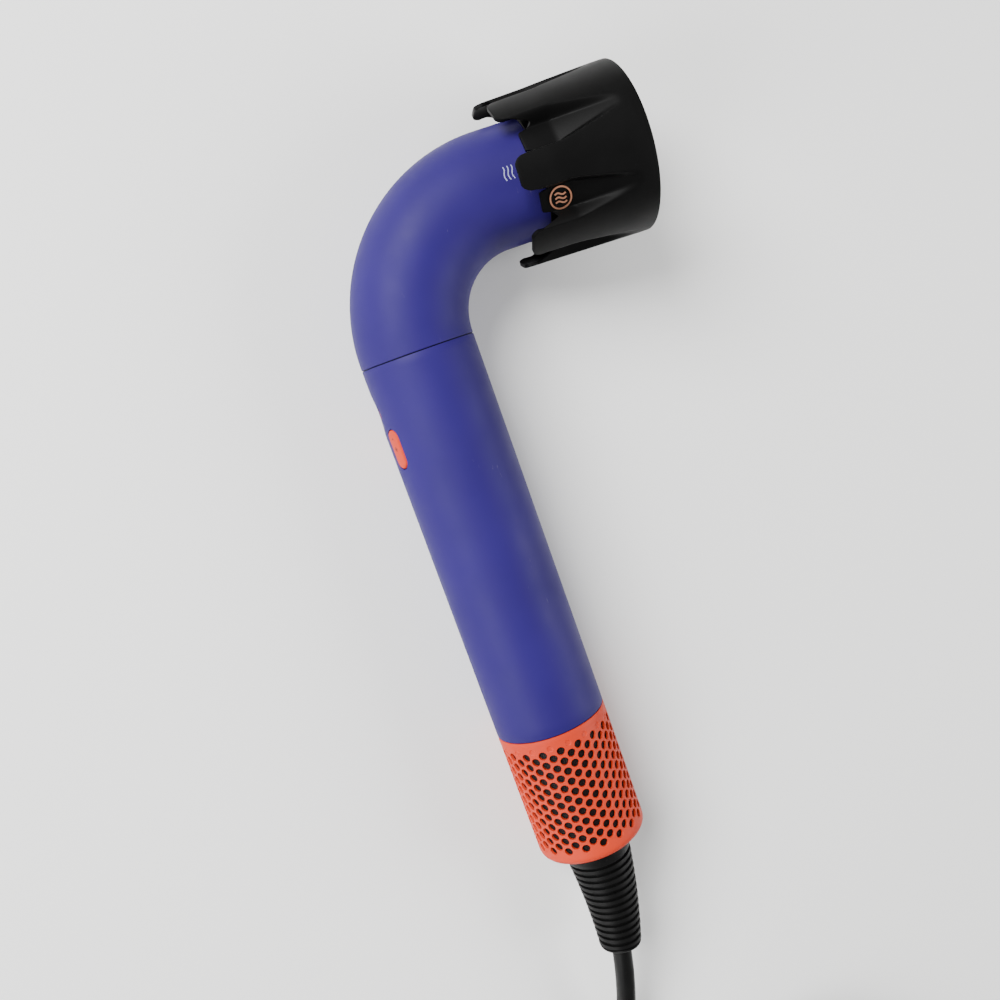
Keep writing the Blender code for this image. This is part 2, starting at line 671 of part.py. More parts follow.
clear_scene()
PARTS = new_collection("travel_hair_dryer")
CUTTERS = new_collection("cutters")
FINISH = {
    "shell": material("shell_plastic", BLUE, 0.45),
    "accent": material("accent_plastic", CORAL, 0.5),
    "black": material("black_plastic", BLACK, 0.55),
    "grey": material("grey_plastic", GREY, 0.5),
    "rubber": material("soft_rubber", BLACK, 0.7),
    "steel": material("steel", (0.55, 0.55, 0.57), 0.3, 1.0),
    "aluminium": material("aluminium", (0.75, 0.75, 0.77), 0.35, 1.0),
    "copper": material("copper", COPPER, 0.3, 1.0),
    "mica": material("mica", (0.55, 0.48, 0.36), 0.6),
    "board": material("circuit_board", (0.02, 0.16, 0.07), 0.5),
    "fabric": material("tie_fabric", (0.02, 0.02, 0.02), 0.9),
}
main()
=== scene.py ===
"""The looks of a pipe-shaped travel hair dryer that lies on its side, its lead coiled below it.

Sizes are in metres. A place on the dryer is given in the handset's own frame: +Y runs up the
handle, +X is the way the air leaves, +Z faces away from the floor, and the origin is on the
handle's axis at the seam below the bend.
"""
import json
import math

import bmesh
import bpy
from mathutils import Euler, Matrix, Vector


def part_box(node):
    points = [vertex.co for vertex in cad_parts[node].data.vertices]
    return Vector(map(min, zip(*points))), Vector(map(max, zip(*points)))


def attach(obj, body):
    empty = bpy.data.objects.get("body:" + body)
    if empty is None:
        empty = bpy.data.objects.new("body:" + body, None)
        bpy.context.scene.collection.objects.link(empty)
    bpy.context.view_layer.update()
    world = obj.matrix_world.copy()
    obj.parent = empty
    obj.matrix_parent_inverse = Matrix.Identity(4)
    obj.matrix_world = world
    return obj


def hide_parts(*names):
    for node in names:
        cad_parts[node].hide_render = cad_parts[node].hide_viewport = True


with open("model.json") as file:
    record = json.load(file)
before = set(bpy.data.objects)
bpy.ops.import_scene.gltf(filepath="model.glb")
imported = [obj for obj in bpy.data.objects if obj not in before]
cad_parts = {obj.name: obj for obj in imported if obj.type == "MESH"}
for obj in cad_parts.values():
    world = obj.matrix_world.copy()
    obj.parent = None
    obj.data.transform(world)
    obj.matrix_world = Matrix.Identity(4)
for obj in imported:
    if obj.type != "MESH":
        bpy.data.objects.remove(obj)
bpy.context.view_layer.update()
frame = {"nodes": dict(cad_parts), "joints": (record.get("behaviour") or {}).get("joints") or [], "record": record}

# ---------------------------------------------------------------- driving dimensions
GAP = 0.0003                    # between pieces that touch
WELD = 0.000002                 # points closer than this are one point
ON_AXIS = 0.0000001             # radius of a turned piece's end, welded to a point
TUBE_R = 0.0190                 # handle, bend and nozzle share one outer diameter
WALL = 0.0020
BORE_R = TUBE_R - WALL
SEAM = 0.00015                  # half the joint line between the handle and the neck
HANDLE_LENGTH = 0.1304
BEND_START = 0.0006
BEND_R = 0.0396
NECK_STRAIGHT = 0.0240
NOZZLE_X = BEND_R
NOZZLE_Y = BEND_START + BEND_R

CAGE_TOP = -HANDLE_LENGTH - GAP
CAGE_LENGTH = 0.0463
CAGE_BOTTOM = CAGE_TOP - CAGE_LENGTH
CAGE_WALL = 0.0017              # at its two bands
CAGE_WEB = 0.0009               # between the holes
CAGE_EDGE_R = 0.0031
CAGE_MOUTH_R = 0.0156
CAGE_COLUMNS = 38               # columns of holes, each second one half a pitch lower
CAGE_TURN = 16.6                # one column's angle from +Z towards the back, in degrees
HOLE_PITCH = 0.00368
HOLE_R = 0.00143
HOLE_ROWS = 10
DIMPLE_V = 0.0034               # blind dimples, measured from the cage's top edge

CAP_R = 0.0152
FRAME_R = 0.0146
CAP_BOTTOM = CAGE_BOTTOM - 0.0010
FLANGE_R = 0.0119
RELIEF_TIP_R = 0.0073
RELIEF_COLLAR = 0.0051
RELIEF_LENGTH = 0.0407
RELIEF_SWAY = 0.0038
RELIEF_RIBS = 13

FINGERS = 7
FINGER_PERIOD = 360 / FINGERS
FINGER_TURN = 4.0               # the front finger's angle from +Z, in degrees
CUP_BACK_R = 0.0264
CUP_RIM_R = 0.0276
CUP_RIM_X = 0.0468
CUP_LEVEL_X = 0.0440
CUP_TIP_X = 0.0040
CUP_VALLEY_X = 0.0098
CUP_NOTCH_X = 0.0143
CUP_FLAT_X = 0.0200
CUP_FADE_X = 0.0410
CUP_FLUTE = 0.0048
CUP_WALL = 0.0012
BADGE_X = 0.0160

POWER_Y = -0.0146
PILL_Y = -0.0267
PILL_ANGLE = 66.5               # from +Z towards the back
PILL_LENGTH = 0.0130
PILL_WIDTH = 0.0057
KEY_TOP = TUBE_R + 0.0003       # the pill keys stand just proud of the handle
PRINT_LIFT = 0.00001            # of printed marks off their surface
DISH_R = 0.0216
DISH_DEPTH = 0.0010

CORD_D = 0.0070
COIL_LIFT = 0.0009
COIL_CENTRE = Vector((0.0050, -0.2720, 0.0))
COIL_OUTER = 0.0525             # middle of the outermost turn
COIL_TURNS = 2.75               # in each of two layers
COIL_CLIMB = 0.5                # of a turn, between the layers
COIL_INNER = COIL_OUTER - COIL_TURNS * CORD_D
PLUG_START_Y = -0.3170
PLUG_AXIS_Z = 0.0120

# The lead from the strain relief to the coil, in world metres: the floor is at z = 0.
CORD_ROUTE = [
    (-0.0390, -0.1431, 0.0184), (-0.0408, -0.1525, 0.0178), (-0.0430, -0.1635, 0.0156),
    (-0.0450, -0.1745, 0.0117), (-0.0464, -0.1850, 0.0077), (-0.0472, -0.1960, 0.0050),
    (-0.0476, -0.2070, 0.0041), (-0.0475, -0.2184, 0.0042), (-0.0475, -0.2310, 0.0043),
    (-0.0475, -0.2442, 0.0044),
]

# ---------------------------------------------------------------- frames taken from the joints
JOINTS = {joint["name"]: joint for joint in frame["joints"]}


def handset_frame():
    """The handset's frame, from the rotor's axis, the nozzle's axis and the top of the handle."""
    up = Vector(JOINTS["rotor_spin"]["axis"])
    air = Vector(JOINTS["attachment_turn"]["axis"])
    origin = Vector(JOINTS["rotor_spin"]["pos_m"])
    origin.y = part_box("handle_shell")[1].y + SEAM
    made = Matrix((air, up, air.cross(up))).transposed().to_4x4()
    made.translation = origin
    return made


HANDSET = handset_frame()
GRIP = HANDSET @ Matrix.Rotation(math.radians(-90), 4, "X")
NOZZLE = HANDSET @ Matrix.Translation((NOZZLE_X, NOZZLE_Y, 0)) @ Matrix.Rotation(math.radians(90), 4, "Y")


def seat(y, angle):
    """A frame on the handle's axis whose Z points out at an angle from +Z towards the back."""
    return HANDSET @ Matrix.Translation((0, y, 0)) @ Matrix.Rotation(math.radians(-angle), 4, "Y")


# ---------------------------------------------------------------- small helpers
def linear(colour):
    """An sRGB hex value as a linear colour."""
    channels = [int(colour[i:i + 2], 16) / 255 for i in (1, 3, 5)]
    return (*[c / 12.92 if c <= 0.04045 else ((c + 0.055) / 1.055) ** 2.4 for c in channels], 1.0)


def add(tree, kind, inputs=None, out=None, **settings):
    """Add a node with its settings and links; give back the node, or the output asked for."""
    made = tree.nodes.new(kind)
    for name, value in settings.items():
        setattr(made, name, value)
    for name, value in (inputs or {}).items():
        if isinstance(value, bpy.types.NodeSocket):
            tree.links.new(value, made.inputs[name])
        else:
            made.inputs[name].default_value = value
    return made if out is None else made.outputs[out]


def smooth(value):
    """Ease from 0 to 1 as a value goes from 0 to 1."""
    value = min(max(value, 0.0), 1.0)
    return value * value * (3.0 - 2.0 * value)


def circle(sides, start=0.0):
    """The cosine and sine of evenly spaced angles, once round."""
    turns = [2 * math.pi * i / sides + start for i in range(sides)]
    return [(math.cos(t), math.sin(t)) for t in turns]


def arc(centre, radius, start, end, count):
    """Points on an arc in the plane of (radius, height); angles in degrees."""
    angles = [math.radians(start + (end - start) * i / count) for i in range(count + 1)]
    return [(centre[0] + radius * math.cos(a), centre[1] + radius * math.sin(a)) for a in angles]


def rounded(outline, radius, closed=True, steps=3):
    """Round an outline's corners. An open outline keeps its two end points."""
    made = []
    last = len(outline) - 1
    for i, corner in enumerate(outline):
        if not closed and i in (0, last):
            made.append(corner)
            continue
        here = Vector(corner)
        before = Vector(outline[i - 1]) - here
        after = Vector(outline[(i + 1) % len(outline)]) - here
        start = here + before.normalized() * min(radius, 0.45 * before.length)
        end = here + after.normalized() * min(radius, 0.45 * after.length)
        for step in range(steps + 1):
            t = step / steps
            made.append(tuple(start * (1 - t) ** 2 + here * 2 * t * (1 - t) + end * t * t))
    return made


def band(inner, outer, low, high):
    """The outline of a plain ring, or of a disc where its inner radius is 0."""
    return [(inner, high), (outer, high), (outer, low), (inner, low)]


def bridge(build, rings, capped=False):
    """Join each ring of vertices to the next by a band of faces."""
    for low, high in zip(rings, rings[1:]):
        for i in range(len(low)):
            j = (i + 1) % len(low)
            build.faces.new((low[i], low[j], high[j], high[i]))
    if capped:
        build.faces.new(rings[0][::-1])
        build.faces.new(rings[-1])


def skin(rows, joined=False):
    """Skin closed rings of points; the last ring meets the first, or both ends are capped."""
    build = bmesh.new()
    rings = [[build.verts.new(p) for p in row] for row in rows]
    bridge(build, rings + rings[:1] if joined else rings, capped=not joined)
    return build


def mesh_from(name, build, *finishes):
    mesh = bpy.data.meshes.new(name)
    build.to_mesh(mesh)
    build.free()
    for finish in finishes:
        mesh.materials.append(finish)
    return mesh


def placed(name, data):
    """A new object in the scene."""
    made = bpy.data.objects.new(name, data)
    bpy.context.scene.collection.objects.link(made)
    return made


def piece_from(name, build, finish, place=None, sharp=35.0):
    """Make a closed mesh an object, facing outwards, with its place in its mesh."""
    bmesh.ops.remove_doubles(build, verts=build.verts, dist=WELD)
    if build.calc_volume(signed=True) < 0:
        bmesh.ops.reverse_faces(build, faces=build.faces)
    if place is not None:
        bmesh.ops.transform(build, matrix=place, verts=build.verts)
    piece = placed(name, mesh_from(name, build, finish))
    soften(piece, sharp)
    return piece


def soften(piece, sharp=35.0):
    """Shade a piece smooth, but for edges sharper than an angle in degrees."""
    piece.data.polygons.foreach_set("use_smooth", [True] * len(piece.data.polygons))
    piece.data.set_sharp_from_angle(angle=math.radians(sharp))


def settle(piece, sharp=35.0):
    """Turn a piece's modifiers into plain mesh."""
    bpy.context.view_layer.update()
    seen = piece.evaluated_get(bpy.context.evaluated_depsgraph_get())
    mesh = bpy.data.meshes.new_from_object(seen)
    piece.modifiers.clear()
    piece.data = mesh
    soften(piece, sharp)
    return piece


def carve(piece, cutters, operation="DIFFERENCE", sharp=35.0):
    """Cut pieces out of a piece, or unite them with it, and remove them."""
    for cutter in cutters:
        boolean = piece.modifiers.new("Carve", "BOOLEAN")
        boolean.operation = operation
        boolean.object = cutter
        boolean.solver = "EXACT"
    settle(piece, sharp)
    for cutter in cutters:
        bpy.data.objects.remove(cutter)
    return piece


def turned(name, outline, finish, place, edge=0.0003, steps=96, sharp=35.0):
    """Spin an outline of (radius, height) points about its frame's Z, with softened corners."""
    closed = outline[0][0] > 0
    around = circle(steps)
    rows = []
    for radius, height in rounded(outline, edge, closed):
        radius = max(radius, ON_AXIS)
        rows.append([(radius * c, radius * s, height) for c, s in around])
    return piece_from(name, skin(rows, joined=closed), finish, place, sharp)


def belongs(piece, body, slot, *nodes):
    """Put a finished piece on its body, in place of the CAD nodes it stands for."""
    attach(piece, body)
    if nodes:
        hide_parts(*nodes)
    return piece


def along(points, spacing):
    """Evenly spaced points on a Catmull-Rom curve through the given points."""
    route = [Vector(p) for p in points]
    ends = [2 * route[0] - route[1]] + route + [2 * route[-1] - route[-2]]
    fine = []
    for a, b, c, d in zip(ends, ends[1:], ends[2:], ends[3:]):
        for i in range(20):
            t = i / 20
            fine.append(0.5 * (2 * b + (c - a) * t + (2 * a - 5 * b + 4 * c - d) * t * t
                               + (3 * b - a - 3 * c + d) * t ** 3))
    fine.append(route[-1])
    length = sum((b - a).length for a, b in zip(fine, fine[1:]))
    count = max(2, round(length / spacing))
    path, travelled, target = [fine[0]], 0.0, length / count
    for a, b in zip(fine, fine[1:]):
        step = (b - a).length
        while travelled + step >= target - 1e-9 and len(path) < count:
            path.append(a.lerp(b, (target - travelled) / step))
            target += length / count
        travelled += step
    path.append(fine[-1])
    return path


def tube_rows(path, radii, sides):
    """Rings round a path, each square to it and turned as little as possible from the last."""
    rows = []
    across = (path[1] - path[0]).normalized().orthogonal().normalized()
    around = circle(sides)
    for i, (point, radius) in enumerate(zip(path, radii)):
        ahead = (path[min(i + 1, len(path) - 1)] - path[max(i - 1, 0)]).normalized()
        across = (across - ahead * across.dot(ahead)).normalized()
        other = ahead.cross(across)
        rows.append([point + radius * (across * c + other * s) for c, s in around])
    return rows


# ---------------------------------------------------------------- materials
def new_material(name):
    """An empty material, its tree, and the object coordinates that its patterns are drawn in."""
    made = bpy.data.materials.new(name)
    made.use_nodes = True
    tree = made.node_tree
    tree.nodes.clear()
    return made, tree, add(tree, "ShaderNodeTexCoord", out="Object")


def blotches(tree, where, scale, values=(0.0, 1.0), limits=(0.3, 0.7), **inputs):
    """Soft random blotches; the part of their range between the limits is spread over the values."""
    noise = add(tree, "ShaderNodeTexNoise", {"Vector": where, "Scale": scale, **inputs}, out="Fac")
    return add(tree, "ShaderNodeMapRange",
               {"Value": noise, "From Min": limits[0], "From Max": limits[1],
                "To Min": values[0], "To Max": values[1]}, out="Result")


def surface(made, relief, inputs):
    """End a material's tree. The relief is a height to show, its strength and its depth."""
    tree = made.node_tree
    height, strength, depth = relief
    normal = add(tree, "ShaderNodeBump",
                 {"Strength": strength, "Distance": depth, "Height": height}, out="Normal")
    shader = add(tree, "ShaderNodeBsdfPrincipled", {"Normal": normal, **inputs}, out="BSDF")
    add(tree, "ShaderNodeOutputMaterial", {"Surface": shader})
    return made


def moulded_plastic(name, main, other, roughness, specular=0.30, relief=0.000012, scuffs=0.0):
    """ABS or polycarbonate from a spark-eroded mould: a satin skin whose fine even grain breaks
    up highlights, with slow drifts of shade and gloss left by handling and a few faint scuffs.
    The grain is drawn 0.6 mm wide, coarser than the real 0.1 mm, so that it shows."""
    made, tree, where = new_material(name)
    drift = blotches(tree, where, 33.0, Detail=3.0)
    colour = add(tree, "ShaderNodeMix", {0: drift, 6: linear(main), 7: linear(other)},
                 out=2, data_type="RGBA")
    lengthened = add(tree, "ShaderNodeMapping", {"Vector": where, "Scale": (1.0, 0.16, 1.0)}, out="Vector")
    streaks = blotches(tree, lengthened, 830.0, (0.0, scuffs), (0.68, 0.80), Detail=4.0, Roughness=0.7)
    patches = blotches(tree, where, 55.0, limits=(0.50, 0.62))
    faint = add(tree, "ShaderNodeMath", {0: streaks, 1: patches}, out=0, operation="MULTIPLY")
    colour = add(tree, "ShaderNodeMix", {0: faint, 6: colour, 7: linear("#B9B8CC")},
                 out=2, data_type="RGBA")
    gloss = blotches(tree, where, 83.0, (roughness - 0.05, roughness + 0.05), Detail=4.0)
    grain = add(tree, "ShaderNodeTexNoise", {"Vector": where, "Scale": 1670.0}, out="Fac")
    return surface(made, (grain, 1.0, relief),
                   {"Base Color": colour, "Roughness": gloss, "IOR": 1.46, "Specular IOR Level": specular})


def soft_rubber(name, main, other, roughness, relief=0.00002):
    """Moulded thermoplastic rubber: nearly black and matte, with a broad dim sheen at grazing
    angles and a trace of pale dust held in its 0.8 mm grain."""
    made, tree, where = new_material(name)
    shade = blotches(tree, where, 100.0, Detail=4.0)
    colour = add(tree, "ShaderNodeMix", {0: shade, 6: linear(main), 7: linear(other)},
                 out=2, data_type="RGBA")
    dust = blotches(tree, where, 900.0, (0.0, 0.04), (0.60, 0.80), Detail=5.0, Roughness=0.75)
    colour = add(tree, "ShaderNodeMix", {0: dust, 6: colour, 7: linear("#8E8C88")},
                 out=2, data_type="RGBA")
    gloss = blotches(tree, where, 170.0, (roughness - 0.06, roughness + 0.06), Detail=3.0)
    grain = add(tree, "ShaderNodeTexNoise", {"Vector": where, "Scale": 1250.0, "Detail": 3.0}, out="Fac")
    return surface(made, (grain, 1.0, relief),
                   {"Base Color": colour, "Roughness": gloss, "IOR": 1.50, "Specular IOR Level": 0.18,
                    "Sheen Weight": 0.01, "Sheen Roughness": 0.5})


def worked_metal(name, main, other, roughness, stretch):
    """Drawn, turned or rolled metal: bright, with fine lines along one way that smear highlights
    across them. A small stretch along an axis makes the 0.4 mm lines run that way."""
    made, tree, where = new_material(name)
    lines = add(tree, "ShaderNodeMapping", {"Vector": where, "Scale": stretch}, out="Vector")
    lines = add(tree, "ShaderNodeTexNoise", {"Vector": lines, "Scale": 2500.0, "Detail": 3.0}, out="Fac")
    tarnish = blotches(tree, where, 140.0, Detail=3.0)
    colour = add(tree, "ShaderNodeMix", {0: tarnish, 6: linear(main), 7: linear(other)},
                 out=2, data_type="RGBA")
    gloss = add(tree, "ShaderNodeMapRange",
                {"Value": lines, "From Min": 0.3, "From Max": 0.7,
                 "To Min": roughness - 0.06, "To Max": roughness + 0.08}, out="Result")
    return surface(made, (lines, 0.6, 0.00001),
                   {"Base Color": colour, "Roughness": gloss, "Metallic": 1.0})


def woven_wire():
    """Blackened stainless cloth, 0.6 mm between wires: each wire catches one small highlight, and
    the openings between them are painted near black as painted shade. The pattern is wound round the handle's
    axis."""
    pitch = 0.0006
    made, tree, where = new_material("blackened_wire_cloth_painted_shade")
    apart = add(tree, "ShaderNodeVectorMath", {0: where, 1: HANDSET.translation},
                out=0, operation="SUBTRACT")
    apart = add(tree, "ShaderNodeSeparateXYZ", {0: apart}).outputs
    turn = add(tree, "ShaderNodeMath", {0: apart["X"], 1: apart["Z"]}, out=0, operation="ARCTAN2")
    waves = []
    for value, rate in ((turn, round(2 * math.pi * FRAME_R / pitch)), (apart["Y"], 2 * math.pi / pitch)):
        phase = add(tree, "ShaderNodeMath", {0: value, 1: rate}, out=0, operation="MULTIPLY")
        waves.append(add(tree, "ShaderNodeMath", {0: phase}, out=0, operation="SINE"))
    weave = add(tree, "ShaderNodeMath", {0: waves[0], 1: waves[1]}, out=0, operation="MAXIMUM")
    height = add(tree, "ShaderNodeMapRange", {"Value": weave}, out="Result")
    # Painted shade: the colour falls to near black in the openings between the wires.
    colour = add(tree, "ShaderNodeMix", {0: height, 6: linear("#040303"), 7: linear("#151211")},
                 out=2, data_type="RGBA")
    gloss = add(tree, "ShaderNodeMapRange", {"Value": height, "To Min": 0.80, "To Max": 0.42}, out="Result")
    return surface(made, (height, 1.0, 0.0001),
                   {"Base Color": colour, "Roughness": gloss, "Metallic": 0.6})


def hook_tape():
    """Black nylon hook-and-loop tape: fine crosswise ribs, 0.7 mm each, matte and fuzzy, with
    painted shade: darker where the ribs and fuzz are low, lighter where they are high.
    """
    made, tree, where = new_material("woven_nylon_tape")
    ribs = add(tree, "ShaderNodeTexWave",
               {"Vector": where, "Scale": 225.0, "Distortion": 0.6, "Detail": 2.0, "Detail Scale": 2.0},
               out="Fac", bands_direction="X")
    fuzz = add(tree, "ShaderNodeTexNoise",
               {"Vector": where, "Scale": 2500.0, "Detail": 4.0, "Roughness": 0.7}, out="Fac")
    height = add(tree, "ShaderNodeMath", {0: ribs, 1: fuzz}, out=0, operation="ADD")
    # Painted shade: the colour is darker where the ribs and fuzz are low and lighter where they are high.
    shade = add(tree, "ShaderNodeMapRange", {"Value": height, "From Min": 0.5, "From Max": 1.5}, out="Result")
    colour = add(tree, "ShaderNodeMix", {0: shade, 6: linear("#040404"), 7: linear("#121213")},
                 out=2, data_type="RGBA")
    gloss = add(tree, "ShaderNodeMapRange", {"Value": fuzz, "To Min": 0.70, "To Max": 0.95}, out="Result")
    return surface(made, (height, 1.0, 0.00012),
                   {"Base Color": colour, "Roughness": gloss, "Specular IOR Level": 0.15,
                    "Sheen Weight": 0.03})


def laminate_board(name, main, other, roughness):
    """Circuit board or mica board: thin flat sheet, with a mottle of the 1.5 mm flakes or the
    glass weave that it is pressed from."""
    made, tree, where = new_material(name)
    flakes = add(tree, "ShaderNodeTexVoronoi", {"Vector": where, "Scale": 670.0}, out="Distance")
    shade = add(tree, "ShaderNodeMapRange", {"Value": flakes, "From Min": 0.1, "From Max": 0.7}, out="Result")
    colour = add(tree, "ShaderNodeMix", {0: shade, 6: linear(main), 7: linear(other)},
                 out=2, data_type="RGBA")
    gloss = add(tree, "ShaderNodeMapRange",
                {"Value": flakes, "To Min": roughness - 0.1, "To Max": roughness + 0.1}, out="Result")
    return surface(made, (flakes, 0.5, 0.00003), {"Base Color": colour, "Roughness": gloss})


def pale_board():
    """Smooth white-painted board for the floor: even, matte, with a faint drift of shade."""
    made, tree, where = new_material("pale_floor_board")
    drift = add(tree, "ShaderNodeTexNoise", {"Vector": where, "Scale": 4.0}, out="Fac")
    colour = add(tree, "ShaderNodeMix", {0: drift, 6: linear("#F9F9F8"), 7: linear("#FCFCFB")},
                 out=2, data_type="RGBA")
    gloss = blotches(tree, where, 50.0, (0.60, 0.80), (0.0, 1.0), Detail=3.0)
    shader = add(tree, "ShaderNodeBsdfPrincipled", {"Base Color": colour, "Roughness": gloss}, out="BSDF")
    add(tree, "ShaderNodeOutputMaterial", {"Surface": shader})
    return made


FINISH = {
    "shell_plastic": moulded_plastic("satin_blue_abs", "#271961", "#24175A", 0.55, 0.20, scuffs=0.22),
    "accent_plastic": moulded_plastic("satin_coral_abs", "#C2371C", "#BB3117", 0.55, 0.22),
    "black_plastic": moulded_plastic("satin_black_polycarbonate", "#060606", "#080808", 0.50, 0.11,
                                     scuffs=0.04),
    "grey_plastic": moulded_plastic("filled_grey_nylon", "#8C8C90", "#7F7F84", 0.50),
    "soft_rubber": soft_rubber("matte_black_rubber", "#060606", "#080808", 0.50),
    "cord_sheath": soft_rubber("extruded_black_sheath", "#070707", "#090909", 0.46, 0.00001),
    "steel": worked_metal("nickel_plated_steel", "#C9C8C4", "#B5B3AE", 0.26, (1.0, 0.05, 1.0)),
    "aluminium": worked_metal("turned_aluminium", "#C4C5C8", "#B4B5B9", 0.34, (0.2, 1.0, 1.0)),
    "copper": worked_metal("brushed_copper_foil", "#F0B091", "#E59F7C", 0.45, (1.0, 0.2, 1.0)),
    "mica": laminate_board("pressed_mica", "#B7A684", "#94815F", 0.55),
    "circuit_board": laminate_board("green_solder_mask", "#1E5A32", "#174828", 0.45),
    "tie_fabric": hook_tape(),
}
WIRE_CLOTH = woven_wire()
PRINT = {
    "white": moulded_plastic("white_pad_print", "#9EA1C6", "#9295BC", 0.55, relief=0.000004),
    "red": moulded_plastic("dark_red_pad_print", "#6E1D16", "#641812", 0.55, relief=0.000004),
}


# ---------------------------------------------------------------- the camera and the light
CAMERA_PLACE = (-0.0320, -0.0051, 0.3219)       # in the handset's frame
CAMERA_TURN = (-5.721, -9.749, -19.776)


def make_camera():
    lens = bpy.data.cameras.new("view")
    lens.lens = 35.6
    lens.sensor_width = 36.0
    lens.clip_start = 0.01
    camera = placed("view", lens)
    turn = Euler([math.radians(a) for a in CAMERA_TURN], "XYZ")
    camera.matrix_world = HANDSET @ Matrix.LocRotScale(CAMERA_PLACE, turn, None)
    bpy.context.scene.camera = camera


def make_light(name, place, target, size, power):
    lamp = bpy.data.lights.new(name, "AREA")
    lamp.shape = "DISK"
    lamp.size = size
    lamp.energy = power
    made = placed(name, lamp)
    made.location = place
    made.rotation_euler = (Vector(target) - Vector(place)).to_track_quat("-Z", "Y").to_euler()


def make_studio():
    """A pale floor under three large soft lamps, which stand well out to the sides so that the
    faces turned to the camera keep their deep colours."""
    build = bmesh.new()
    bmesh.ops.create_grid(build, x_segments=8, y_segments=8, size=2.0)
    floor = placed("floor", mesh_from("floor", build, pale_board()))

    make_light("upper_left", (-0.75, 0.85, 0.95), (-0.02, 0.0, 0.0), 0.90, 43.0)
    make_light("left", (-1.05, -0.25, 0.60), (-0.02, 0.0, 0.02), 0.70, 12.0)
    make_light("right", (1.00, -0.35, 0.70), (0.0, 0.0, 0.02), 0.70, 12.0)
    world = bpy.data.worlds.new("studio")
    bpy.context.scene.world = world
    world.use_nodes = True
    backdrop = world.node_tree.nodes["Background"]
    backdrop.inputs["Color"].default_value = (1.0, 1.0, 1.0, 1.0)
    backdrop.inputs["Strength"].default_value = 0.25


# ---------------------------------------------------------------- the lead
def lead_path():
    """The lead's centre line: down to the floor, round and inwards, back out on top of those turns,
    and straight to the plug."""
    path = along(CORD_ROUTE, 0.005)
    path.insert(0, path[0] + (path[0] - path[1]).normalized() * 0.0025)
    low = COIL_LIFT + CORD_D / 2
    west = COIL_CENTRE + Vector((-COIL_OUTER, 0, low))
    here = path[-1]
    steps = round((west - here).length / 0.005)
    path += [here.lerp(west, i / steps) for i in range(1, steps)]
    turns = 2 * COIL_TURNS + COIL_CLIMB
    count = round(turns * 60)
    for i in range(count + 1):
        turn = turns * i / count
        inwards = min(turn / COIL_TURNS, 1.0)
        outwards = max(0.0, (turn - COIL_TURNS - COIL_CLIMB) / COIL_TURNS)
        radius = COIL_OUTER + (COIL_INNER - COIL_OUTER) * (inwards - outwards)
        rise = smooth((turn - COIL_TURNS) / COIL_CLIMB) * CORD_D
        angle = math.pi + 2 * math.pi * turn
        path.append(COIL_CENTRE + Vector((radius * math.cos(angle), radius * math.sin(angle), low + rise)))
    top = path[-1]
    end = Vector((top.x, PLUG_START_Y - 0.0020, PLUG_AXIS_Z))
    steps = round((end - top).length / 0.005)
    path += [top.lerp(end, i / steps) for i in range(1, steps + 1)]
    return path


def make_lead():
    path = lead_path()
    radii = [CORD_D / 2 - 0.00005] * len(path)
    lead = piece_from("supply_lead", skin(tube_rows(path, radii, 20)), FINISH["cord_sheath"])
    belongs(lead, "root", "cord_sheath", "cord_lead", "cord_coil", "cord_tail")
    length = sum((b - a).length for a, b in zip(path, path[1:]))
    return lead, path, length


def make_tie():
    """A strap of hook tape wound once round the coil, its free end pressed down on top."""
    inner, outer = COIL_INNER - CORD_D / 2, COIL_OUTER + CORD_D / 2
    top = COIL_LIFT + 2 * CORD_D
    thick, slack, half_width = 0.0006, 0.0003, 0.0050
    between = 0.00003                           # between the strap and its own free end
    steps = 60
    build = bmesh.new()
    for layer, (start, end) in enumerate(((0.0, 0.996), (0.52, 0.80))):
        low = slack + layer * (thick + between)
        high = low + thick
        under = COIL_LIFT - slack - thick
        loops = [rounded([(outer + lift, under + high - lift), (outer + lift, top + lift),
                          (inner - lift, top + lift), (inner - lift, under + high - lift)],
                         0.0030, steps=6) for lift in (low, high)]
        rings = []
        for i in range(steps + 1):
            share = start + (end - start) * i / steps
            (r0, z0), (r1, z1) = [point_round(loop, share) for loop in loops]
            corners = [(-half_width, -r0, z0), (half_width, -r0, z0),
                       (half_width, -r1, z1), (-half_width, -r1, z1)]
            rings.append([build.verts.new(p) for p in corners])
        bridge(build, rings, capped=True)
    place = Matrix.Translation(COIL_CENTRE)
    tie = piece_from("hook_tape_tie", build, FINISH["tie_fabric"], place, sharp=50.0)
    return belongs(tie, "root", "tie_fabric", "cord_tie")


def point_round(loop, share):
    """The point at a share of the way round a closed outline."""
    ends = loop[1:] + loop[:1]
    lengths = [math.dist(a, b) for a, b in zip(loop, ends)]
    left = (share % 1.0) * sum(lengths) if share < 1.0 else sum(lengths)
    for a, b, length in zip(loop, ends, lengths):
        if left <= length:
            t = left / length
            return (a[0] + (b[0] - a[0]) * t, a[1] + (b[1] - a[1]) * t)
        left -= length
    return loop[0]


def plug_ring(height, half_wide, half_thick):
    """A ring between an ellipse and a rounded oblong."""
    return [(half_wide * math.copysign(abs(c) ** 0.75, c),
             half_thick * math.copysign(abs(s) ** 0.75, s), height) for c, s in circle(48)]


